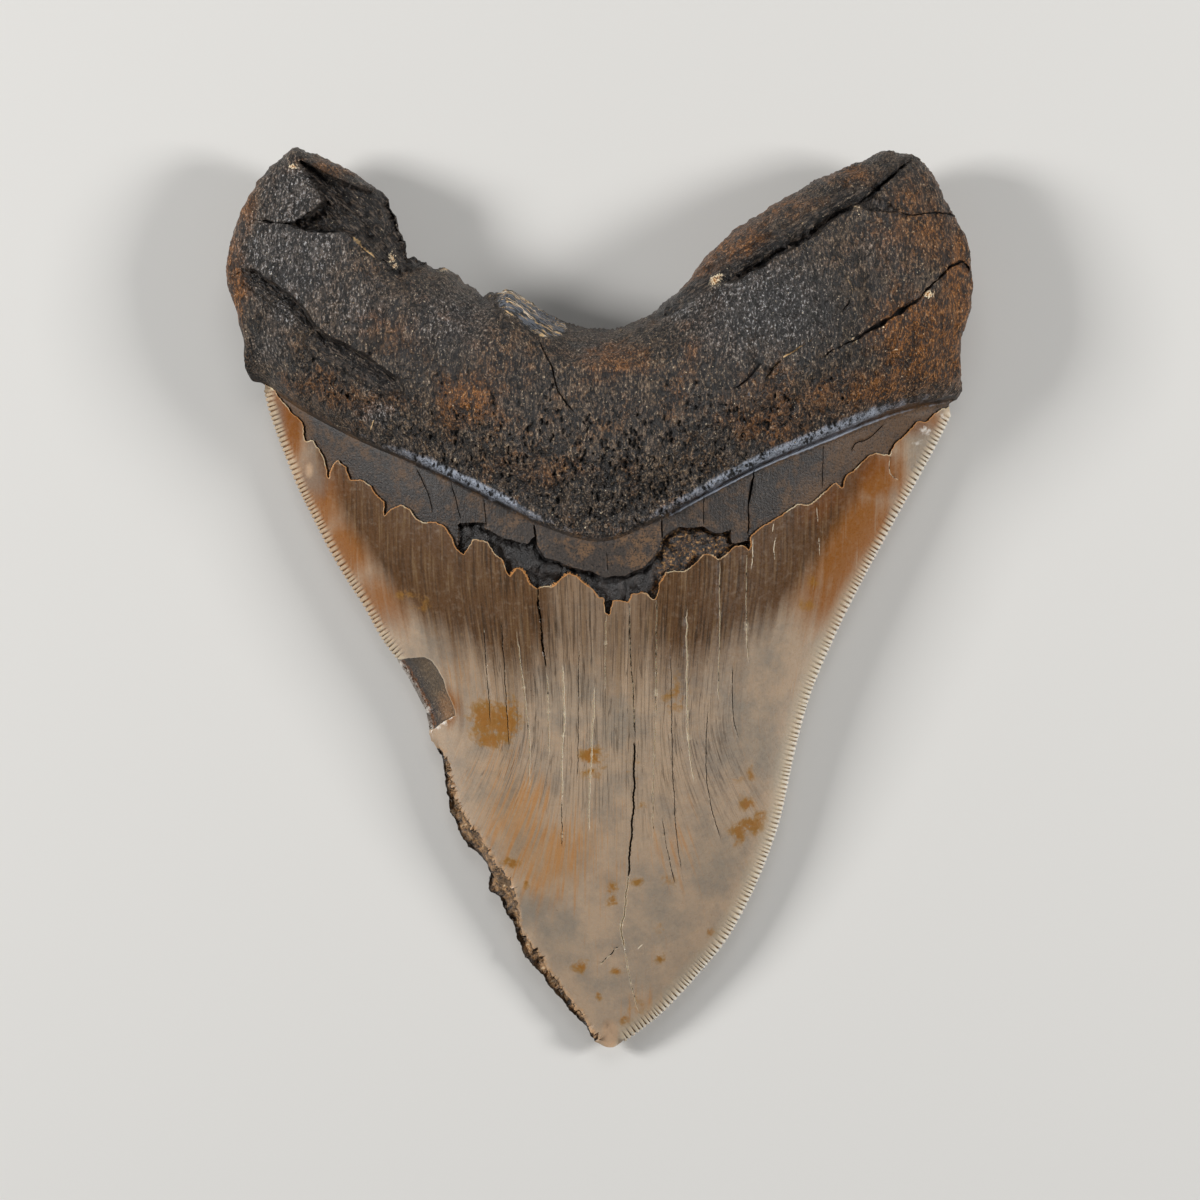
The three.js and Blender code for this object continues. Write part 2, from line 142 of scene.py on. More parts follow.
# Weathering: lengths in metres, but the serrations' pitch and length in millimetres, as on the mesh
WEATHERING = {
    "Serration pitch": SERRATION_PITCH,
    "Serration depth": SERRATION_DEPTH * MM,
    "Serration length": SERRATION_LENGTH,
    "Pore density": 1.5 / MM**2,
    "Pore size": 0.26 * MM,
    "Pore depth": 0.5 * MM,
    "Grain scale": 1 / (1.1 * MM),
    "Grain height": 0.8 * MM,
    "Lump scale": 1 / (3.0 * MM),
    "Lump height": 1.7 * MM,
    "Swell scale": 1 / (10.0 * MM),
    "Swell height": 1.6 * MM,
    "Seed": SEED,
}
PORE_SHAPE = 0.36  # width of a pore over its length
SMALLEST_PORE = 0.35  # size of the smallest pore over the largest
FIBRE_SHAPE = 0.45  # width of the root's grain over its length
PORE_FLOOR = 0.3  # share of a pore's radius that is at full depth
HAIRLINE = 0.05  # half width below which a crack fades out
CRACK_FLOOR = 0.1  # share of a crack's half width that is at full depth
CRACK_END = 0.05  # share of its width that a crack has at its ends
CRACK_TAPER = 5.0  # a crack is at full width after one part in this many of its length
CRACK_SPREAD = (0.25, 1.3)  # how its width varies along the way
SERRATION_GAP = 0.26  # share of the pitch, from the middle of a serration, where the gap begins
SHARP_ANGLE = 48.0  # degrees between faces that keep a sharp edge
LINE_LENGTH = 26.0  # length of an enamel growth line over its width
THREAD_LEVEL = 0.52  # level of the thread pattern along which a dark thread runs in the enamel
CHIP_RIPPLE_TURN = math.radians(50)
SHELL_TURN = math.radians(62)  # the flakes of the lower edge lie across it
LOBE_FIBRE_TURN = math.radians(-48)
CLEFT_FLAKE_TURN = math.radians(125)
CLEFT_FLAKES_FROM = 0.2  # strength of the cream stain from which its flakes turn
VALLEY_FIBRES_FROM = 0.05  # share of a valley's depth from which the fibres follow it
RIM_ROOT_FROM = 0.1  # share of the rise to the root from which the rim has the root's finish
LONG_PATTERN = 2.5  # length over width from which a pattern follows the turn of the fibres
STAIN_FALL = 0.9  # how fast a stain fades away from its middle
PALE_VALLEY_X = -44.0  # beyond this the left valley has less painted shade and splits less
PALE_VALLEY_SHARE = 0.6
MIDDLE_BROWN = 0.45  # share of the brown below the torn edge that is left in the middle of the crown
FAINT_BROWN = 0.2
LINE_MIDDLE_X = 1.0  # the growth lines spread to both sides of this
LINE_NARROWING = 0.12
LINE_FLARE = 0.9
CRUMB = (-8.0, 4.9, 1.1, 1.3)  # a round crumb left in the gap of the band: place, radius and height

# Mesh spacing
RIM_STEP = 0.36
LINE_STEP = 0.3
FINE_STEP = 0.08  # of the rim, for distances to it
ROOT_STEP = 0.46
POROUS_STEP = 0.32
BAND_STEP = 0.38
ENAMEL_STEP = 0.72
OUTER_STEP = 1.2
OUTER_ROOT_STEP = 0.8
GRID_UNEVENNESS = 0.16  # share of its step by which a point of a grid is moved
GRID_CLEARANCE = 0.6  # share of its step that a grid stays away from sharp lines
RIM_CLEARANCE = 0.14
WIDE_CRACK = 0.25  # half width from which a crack gets more rows of points
POROUS_SHARE = 0.35  # strength of the porous stain from which the mesh is closer
BAND_MESH_TOP = 1.0  # height over the lip up to which the mesh is as close as on the band

# Rows of mesh points beside a line, by their distance to its left
ENAMEL_EDGE_ROWS = (0.07, -0.07, -0.3)
LIP_ROWS = (-1.6, -1.1, -0.8, -0.5, -0.2, 0.05, 0.4, 0.8, 1.3)
PLATE_EDGE_ROWS = (0.06, -0.12, -0.4)
LOBE_SCAR_ROWS = (0.35, -0.35)
STRIP_ROWS = (0.0, -0.35)
FLAKE_SCAR_ROWS = (0.25, -0.25)
OUTER_ENAMEL_ROWS = (0.07, -0.07)

# Rows of mesh points within the outline, by their distance to it
INNER_SERRATION_ROWS = (0.2, 0.5, 0.9, 1.4, 2.0)
OUTER_SERRATION_ROWS = (0.3, 0.8, 1.5)
OUTER_RIM_ROWS = (0.3, 0.8, 1.5, 2.3, 3.2)

# Outline, clockwise from the left shoulder, in named stretches that share their end points
LEFT_ROOT_SIDE = [
    [-55.8, 35.3], [-56.6, 35.8], [-57.4, 38.4], [-57.7, 42.3], [-58.7, 46.5], [-59.9, 51.6], [-59.9, 55.2],
    [-58.7, 59.7], [-56.6, 64.8], [-53.7, 69.2], [-51.0, 71.6],
]
LEFT_LOBE_CREST = [
    [-51.0, 71.6], [-49.8, 72.6], [-48.5, 72.5], [-45.5, 71.8], [-41.9, 70.2], [-38.4, 67.9], [-36.0, 66.3],
    [-34.4, 65.0],
]
BROKEN_LOBE = [[-34.4, 65.0], [-33.7, 62.6], [-32.6, 59.7], [-31.8, 57.1], [-31.1, 55.3]]
BROKEN_CLEFT = [
    [-31.1, 55.3], [-30.0, 55.4], [-28.2, 54.3], [-26.3, 53.4], [-25.2, 53.7], [-24.2, 53.1], [-22.6, 51.6],
    [-20.5, 50.2], [-18.7, 48.7], [-17.7, 49.2], [-15.3, 50.2], [-13.9, 50.1], [-12.1, 48.7],
]
CLEFT = [
    [-12.1, 48.7], [-9.5, 46.9], [-6.5, 45.2], [-3.2, 43.9], [0.0, 43.5], [3.2, 43.9], [6.6, 45.3],
    [9.7, 47.3], [11.9, 49.5], [14.5, 52.3], [16.5, 54.8],
]
RIGHT_LOBE = [
    [16.5, 54.8], [19.4, 57.6], [24.2, 61.3], [29.0, 64.4], [34.2, 67.3], [39.0, 69.6], [42.3, 71.0],
    [45.2, 72.2], [47.6, 72.3], [50.2, 71.8], [52.6, 70.2], [54.5, 67.7], [56.8, 63.5], [58.7, 60.0],
    [59.8, 56.5], [60.1, 52.9], [60.0, 49.2], [59.4, 45.3], [58.2, 41.9], [58.0, 39.5], [58.4, 36.1],
    [58.5, 33.9],
]
RIGHT_SHOULDER = [[58.5, 33.9], [57.9, 32.7], [56.6, 31.8], [56.8, 31.0], [57.0, 29.8]]
RIGHT_CUTTING_EDGE = [
    [57.0, 29.8], [53.4, 22.7], [46.8, 10.8], [40.8, -0.5], [36.5, -9.7], [34.0, -16.1], [32.1, -22.9],
    [30.8, -28.7], [29.4, -35.2], [27.4, -41.3], [24.5, -48.1], [20.6, -55.2], [15.6, -61.3], [9.8, -67.4],
    [4.0, -71.8],
]
TIP = [[4.0, -71.8], [2.4, -72.6], [1.0, -72.6], [-0.2, -72.0]]
BROKEN_EDGE = [
    [-0.2, -72.0], [-1.8, -70.0], [-3.7, -67.7], [-6.0, -65.3], [-8.2, -62.6], [-9.5, -61.0],
    [-11.6, -58.4], [-12.6, -56.6], [-13.5, -54.4], [-14.2, -52.4], [-15.3, -50.6], [-16.3, -48.2],
    [-17.3, -47.7], [-18.1, -46.8], [-17.7, -44.5], [-18.2, -42.9], [-20.0, -41.1], [-21.6, -39.4],
    [-22.6, -38.4], [-23.2, -36.1], [-24.4, -34.4], [-24.4, -32.3], [-25.0, -30.2], [-25.3, -27.4],
    [-25.6, -25.3], [-27.3, -22.9], [-27.7, -21.1],
]
CHIPPED_EDGE = [[-27.7, -21.1], [-28.2, -18.2], [-29.7, -15.2], [-31.3, -12.3], [-32.9, -9.8]]
LEFT_CUTTING_EDGE = [
    [-32.9, -9.8], [-35.5, -6.3], [-38.4, -1.1], [-41.5, 3.7], [-44.2, 8.4], [-46.6, 13.1], [-48.9, 17.7],
    [-50.6, 21.9], [-52.4, 26.5], [-53.9, 31.0], [-54.6, 34.2],
]
LEFT_SHOULDER = [[-54.6, 34.2], [-54.4, 34.8], [-55.0, 35.2], [-55.8, 35.3]]

# Where the left cutting edge ran before it broke
LOST_EDGE = [
    [-32.9, -9.8], [-28.4, -17.6], [-25.8, -25.3], [-24.2, -32.3], [-21.9, -38.7], [-18.7, -44.5],
    [-15.2, -51.0], [-11.3, -57.3], [-6.5, -63.9], [-0.2, -72.0],
]

# Lower edge of the root, left to right
LIP = [
    [-57.0, 36.0], [-54.5, 35.2], [-48.4, 31.0], [-38.7, 25.8], [-25.8, 20.3], [-16.1, 15.6], [-8.9, 11.9],
    [0.0, 9.5], [8.1, 12.4], [16.1, 16.8], [25.8, 21.8], [35.5, 25.8], [45.2, 29.7], [51.6, 31.6],
    [58.4, 32.9],
]

# Torn upper edge of the enamel, left to right. Each row is one scallop, up to the next fissure.
ENAMEL_SCALLOPS = [
    [[-54.6, 34.9], [-52.6, 33.9], [-51.3, 31.9], [-49.5, 30.0], [-48.2, 28.7], [-47.6, 25.8]],
    [[-46.5, 25.8], [-45.2, 24.4], [-44.4, 22.3], [-43.9, 19.7]],
    [[-43.2, 21.9], [-42.3, 22.6], [-41.0, 21.6], [-40.2, 19.4]],
    [[-38.7, 19.5], [-36.9, 18.5], [-35.8, 16.6], [-34.8, 15.8], [-34.7, 13.7]],
    [[-33.7, 14.7], [-31.9, 15.5], [-30.6, 14.7], [-29.4, 13.2], [-28.2, 12.4]],
    [[-26.5, 12.6], [-25.2, 12.1], [-23.9, 10.5], [-23.1, 8.4], [-21.9, 7.3]],
    [[-21.0, 8.7], [-20.3, 9.8], [-19.2, 9.5], [-17.9, 9.4], [-16.8, 7.6], [-15.6, 6.3], [-14.8, 4.5],
     [-14.4, 3.7]],
    [[-13.4, 5.3], [-12.3, 4.8], [-11.3, 2.9], [-10.0, 1.9]],
    [[-8.9, 2.3], [-7.4, 2.3], [-6.3, 3.5], [-5.0, 4.2], [-3.9, 3.9], [-2.6, 2.7], [-1.3, 1.9], [-0.3, 0.5],
     [0.6, 0.3], [1.0, -1.9], [1.5, -2.3]],
    [[1.9, -0.2], [3.2, 0.0], [4.5, -0.2], [5.2, 1.0], [6.5, 1.3], [7.6, 1.1], [8.4, 0.2], [9.0, 0.2]],
    [[9.5, 2.7], [10.5, 4.4], [12.1, 4.7], [13.5, 4.5], [15.2, 6.0], [16.6, 7.3], [17.9, 7.3], [19.0, 6.5]],
    [[20.5, 7.7], [21.8, 8.7], [22.9, 8.9], [23.9, 8.1]],
    [[24.2, 10.3], [25.5, 11.5], [27.4, 12.6], [29.5, 14.0], [31.6, 15.3], [33.9, 15.5], [35.2, 16.5],
     [36.8, 18.2], [38.1, 19.0], [39.0, 18.1]],
    [[39.7, 20.3], [40.8, 20.8], [41.9, 21.8], [43.2, 23.2], [44.5, 23.7], [46.8, 23.4]],
    [[47.7, 25.3], [49.4, 26.8], [51.3, 28.9], [52.9, 28.9], [54.2, 30.2], [55.5, 31.1], [57.0, 31.3]],
]

# Lower edge of the plates of the dark band, where the middle of it has flaked off
PLATE_EDGE = [
    [-22.6, 12.2], [-18.4, 12.3], [-18.7, 11.5], [-15.0, 9.7], [-11.5, 8.9], [-10.3, 10.2], [-10.0, 8.4],
    [-8.9, 6.8], [-6.9, 6.1], [-4.8, 5.3], [-2.2, 4.7], [1.0, 3.6], [4.0, 3.8], [6.8, 5.2], [8.8, 7.1],
    [10.0, 9.7], [11.1, 10.8], [12.7, 11.6], [16.8, 11.6], [18.5, 10.6], [20.9, 11.2], [21.1, 9.0],
    [23.7, 9.4],
]
BELOW_PLATES = [[24.4, 2.0], [8.0, -6.0], [-8.0, -6.0], [-22.6, 2.0]]
BELOW_CROWN = [[70.0, 0.0], [0.0, -90.0], [-70.0, 0.0]]  # well outside the tooth

# Scars: depth lost, then stretches of the border, each with the run of its wall.
# A border outside the outline leaves the scar open on that side.
LOBE_SCAR = (3.6, [
    (3.6, [[-48.9, 71.2], [-46.8, 67.9], [-44.9, 65.2], [-44.5, 63.9]]),
    (0.6, [[-44.5, 63.9], [-46.5, 62.2], [-49.0, 60.7], [-52.0, 60.6], [-54.7, 61.1]]),
    (1.5, [
        [-54.7, 61.1], [-50.0, 60.2], [-46.8, 59.1], [-42.2, 59.1], [-40.0, 58.5], [-35.7, 54.8],
        [-33.4, 52.6], [-31.1, 52.3]]),
    (0.3, [[-31.1, 52.3], [-27.0, 56.0], [-29.0, 68.0], [-33.0, 70.0]]),
    (3.0, [[-33.0, 70.0], [-36.6, 66.0], [-41.5, 67.6], [-48.9, 71.2]]),
])
LENS_SCAR = (0.9, [(1.0, [
    [43.5, 64.8], [45.6, 64.2], [48.1, 62.3], [44.9, 62.1], [41.4, 62.8], [43.5, 64.8]])])
FLAKE_SCAR = (1.6, [
    (3.0, [
        [-34.0, -9.4], [-32.3, -9.6], [-30.3, -9.4], [-28.4, -9.3], [-26.8, -10.3], [-25.6, -12.4],
        [-24.7, -14.8], [-23.9, -16.8], [-23.4, -18.4], [-24.4, -19.2], [-25.8, -20.0], [-27.1, -21.0],
        [-29.0, -21.6]]),
    (0.3, [[-29.0, -21.6], [-33.0, -20.0], [-38.0, -10.0], [-34.0, -9.4]]),
])
TIP_SCAR = (0.5, [(0.8, [
    [0.2, -71.6], [0.4, -69.2], [1.4, -68.3], [2.5, -69.0], [3.0, -71.0], [2.2, -73.2], [0.2, -71.6]])])

# Valleys in the root: depth, run of the wall on the left of the route and on its right, then the route
VALLEYS = [
    (2.0, 0.6, 3.0, [
        [-57.7, 52.9], [-55.4, 52.7], [-53.9, 51.4], [-52.0, 50.3], [-49.9, 48.6], [-47.7, 46.4],
        [-45.9, 43.8], [-45.0, 42.4]]),
    (2.0, 0.6, 4.0, [
        [-46.4, 44.0], [-44.0, 42.1], [-41.2, 40.7], [-37.8, 38.7], [-35.1, 37.2], [-32.6, 34.7],
        [-31.7, 32.8]]),
    (1.1, 0.3, 1.2, [[50.7, 71.2], [48.4, 69.3], [46.0, 67.2], [43.5, 65.1], [41.4, 63.5]]),
    (3.0, 0.6, 4.0, [
        [44.5, 66.0], [43.5, 65.1], [41.4, 63.5], [37.2, 61.1], [34.4, 58.8], [30.9, 56.7], [28.1, 55.3],
        [24.6, 53.0], [21.8, 51.5], [19.4, 50.9], [17.0, 49.9]]),
    (1.4, 0.5, 3.2, [[21.8, 51.5], [19.4, 50.9], [15.2, 49.0], [12.7, 46.9], [8.5, 44.5]]),
]

# Inner border of the strip that has crumbled away along the lower left edge, from the flake down to the tip
CRUMBLED_STRIP = [
    [-28.0, -23.4], [-26.0, -24.9], [-24.6, -29.6], [-23.3, -33.9], [-20.0, -38.0], [-18.3, -41.6],
    [-14.7, -45.5], [-13.9, -49.0], [-12.9, -54.2], [-9.8, -58.5], [-6.7, -62.7], [-4.1, -66.3],
    [-2.1, -69.2], [-0.2, -71.5],
]

# Where the enamel of the outer face, which is down, meets its root
OUTER_ENAMEL_EDGE = [
    [-57.0, 33.0], [-38.0, 29.5], [-18.0, 25.0], [0.0, 23.0], [18.0, 25.0], [38.0, 29.5], [59.0, 31.5],
]

# Cracks: half width, depth and tone of the filling (0 dark, 1 pale), then the route
CRACKS = [
    (0.24, 0.9, 0.0, [[50.9, 71.4], [48.4, 69.3], [46.0, 67.2], [43.5, 65.1], [41.4, 63.5]]),
    (0.25, 0.8, 0.0, [[41.4, 63.5], [37.2, 61.1], [34.4, 58.8], [30.9, 56.7], [28.1, 55.3], [24.6, 53.0]]),
    (0.2, 0.5, 0.0, [[48.1, 62.3], [50.0, 61.8], [54.8, 62.3], [58.1, 61.9]]),
    (0.3, 0.9, 0.0, [
        [59.7, 52.9], [58.4, 54.5], [55.6, 52.9], [52.4, 49.7], [50.8, 47.9], [48.4, 46.6], [45.2, 44.3],
        [43.4, 43.5], [41.5, 42.0], [37.9, 40.3], [35.5, 38.7]]),
    (0.11, 0.4, 0.0, [[41.1, 49.7], [38.4, 45.8], [35.5, 43.9]]),
    (0.24, 0.3, 1.0, [[35.5, 43.0], [32.3, 40.6], [29.0, 38.4]]),
    (0.2, 0.4, 0.3, [[29.0, 38.4], [26.1, 35.2]]),
    (0.22, 0.4, 0.0, [[25.8, 38.2], [23.6, 35.5], [21.6, 33.7]]),
    (0.11, 0.3, 0.0, [[-59.2, 52.0], [-57.9, 52.9], [-55.4, 52.7], [-53.9, 51.4]]),
    (0.3, 0.8, 0.0, [[-55.6, 61.2], [-54.7, 61.1], [-52.0, 60.6], [-49.0, 60.7], [-46.5, 62.2]]),
    (0.2, 0.4, 0.0, [[-49.0, 60.7], [-46.8, 59.1], [-42.2, 59.1], [-40.3, 58.7]]),
    (0.22, 0.0, 1.0, [[-39.7, 58.3], [-37.8, 56.5], [-35.8, 54.9]]),
    (0.6, 1.0, 0.0, [[-35.2, 54.6], [-33.6, 53.2], [-31.8, 52.2]]),
    (0.12, 0.0, 0.9, [[-36.2, 29.0], [-36.8, 27.2]]),
    (0.6, 0.9, 0.0, [[-40.6, 32.8], [-40.0, 32.6]]),
    (0.2, 0.4, 0.0, [[-9.7, 41.1], [-7.7, 37.1], [-6.5, 33.1], [-4.0, 29.8]]),
    (0.09, 0.2, 0.0, [[-29.4, 21.0], [-27.4, 16.6], [-26.8, 13.7]]),
    (0.09, 0.2, 0.0, [[-23.9, 19.2], [-22.3, 12.9]]),
    (0.1, 0.25, 0.0, [[-18.5, 16.1], [-18.2, 11.3]]),
    (0.2, 0.5, 0.0, [[-10.5, 12.1], [-10.2, 9.5]]),
    (0.08, 0.2, 0.0, [[1.1, 7.7], [1.3, 4.2]]),
    (0.18, 0.4, 0.0, [[9.9, 13.0], [10.0, 9.9]]),
    (0.09, 0.2, 0.0, [[16.6, 16.9], [16.6, 11.9]]),
    (0.25, 0.6, 0.0, [[24.7, 20.8], [23.9, 16.1], [23.7, 10.5]]),
    (0.08, 0.2, 0.0, [[35.8, 25.0], [35.8, 18.0]]),
    (0.1, 0.2, 0.0, [[40.3, 23.7], [41.2, 25.2], [43.0, 25.9], [46.1, 28.6]]),
    (0.08, 0.1, 0.5, [[47.3, 24.6], [46.8, 22.6], [47.0, 20.4], [48.4, 19.4]]),
    (0.26, 0.5, 0.0, [[-10.0, 2.0], [-9.7, -1.6], [-9.2, -6.5], [-8.7, -10.8]]),
    (0.11, 0.2, 0.8, [[-8.7, -10.8], [-8.4, -13.4], [-8.2, -19.4], [-8.2, -25.8]]),
    (0.12, 0.25, 0.4, [[4.8, -0.6], [4.8, -7.1], [5.3, -13.9], [5.5, -18.9], [5.6, -22.6]]),
    (0.22, 0.5, 0.0, [[5.6, -22.6], [5.5, -28.9], [5.3, -34.2], [4.8, -40.6], [4.6, -44.6]]),
    (0.22, 0.4, 1.0, [[4.6, -44.6], [3.9, -50.3], [3.5, -53.4], [3.9, -56.6]]),
    (0.12, 0.2, 0.8, [[3.9, -56.6], [4.5, -59.4], [5.3, -62.9], [6.3, -66.9]]),
    (0.13, 0.3, 0.7, [[9.0, 0.0], [9.0, -8.1], [9.0, -18.9]]),
    (0.11, 0.2, 0.85, [[9.0, -18.9], [8.7, -25.2], [8.5, -32.3], [8.5, -38.7]]),
    (0.16, 0.2, 1.0, [[-6.1, -9.8], [-5.8, -15.3], [-5.8, -20.6], [-6.1, -25.2], [-6.1, -32.3]]),
    (0.1, 0.2, 0.3, [[-6.1, -32.3], [-6.1, -40.3]]),
    (0.15, 0.2, 1.0, [[-0.8, -13.5], [-1.0, -17.6], [-1.3, -22.6], [-1.5, -27.1], [-1.8, -37.1]]),
    (0.1, 0.2, 0.8, [[1.0, -2.4], [0.8, -8.1], [0.8, -14.5]]),
    (0.11, 0.2, 0.85, [[-13.4, -4.8], [-12.4, -12.6], [-11.8, -17.9], [-11.3, -22.6], [-11.3, -30.6]]),
    (0.15, 0.2, 1.0, [[13.9, -1.3], [13.9, -11.6], [14.0, -18.9], [14.4, -24.8], [15.2, -29.8]]),
    (0.11, 0.2, 0.85, [[19.2, 6.3], [19.2, -4.8], [19.0, -11.6], [19.0, -16.1]]),
    (0.1, 0.2, 0.7, [[23.6, 8.0], [23.5, -4.0], [23.9, -10.3]]),
    (0.13, 0.2, 0.35, [[2.9, -56.0], [1.3, -57.6], [0.0, -58.9]]),
    (0.09, 0.15, 0.1, [[-15.8, -3.0], [-15.2, -14.0], [-14.6, -24.0]]),
    (0.08, 0.15, 0.1, [[-18.6, -4.0], [-18.2, -12.0], [-17.6, -20.0]]),
    (0.08, 0.15, 0.1, [[-3.4, -6.0], [-3.4, -16.0], [-3.6, -30.0]]),
    (0.08, 0.15, 0.1, [[11.4, -6.0], [11.4, -16.0], [11.8, -30.0], [12.6, -40.0], [13.6, -46.0]]),
    (0.08, 0.15, 0.1, [[17.4, -16.0], [17.0, -26.0], [17.8, -33.0], [19.6, -39.0]]),
    (0.08, 0.15, 0.1, [[21.2, -10.0], [21.4, -18.0], [22.4, -22.5]]),
    (0.08, 0.15, 0.2, [[9.8, -34.0], [11.0, -41.0], [12.4, -47.0]]),
    (0.08, 0.0, 0.8, [[24.5, 9.9], [24.5, 7.4], [24.2, 4.8]]),
    (0.07, 0.0, 0.7, [[27.9, 12.3], [27.7, 10.9]]),
    (0.08, 0.0, 0.7, [[28.2, 10.2], [27.9, 8.4], [28.1, 6.4]]),
    (0.07, 0.0, 0.8, [[34.9, 15.0], [35.1, 12.5]]),
    (0.06, 0.0, 0.6, [[35.2, 10.2], [35.4, 7.1]]),
    (0.3, 0.0, 1.0, [[-6.2, 4.2], [-5.0, 4.7], [-3.6, 4.4], [-2.6, 3.3]]),
    (0.2, 0.0, 1.0, [[-2.2, 2.9], [-1.1, 2.2], [-0.1, 0.9], [0.5, 0.5]]),
    (0.06, 0.0, 0.5, [[38.2, 53.2], [40.0, 50.5], [40.3, 48.4]]),
    (0.1, 0.0, 0.9, [[6.1, -56.5], [6.9, -55.6]]),
]
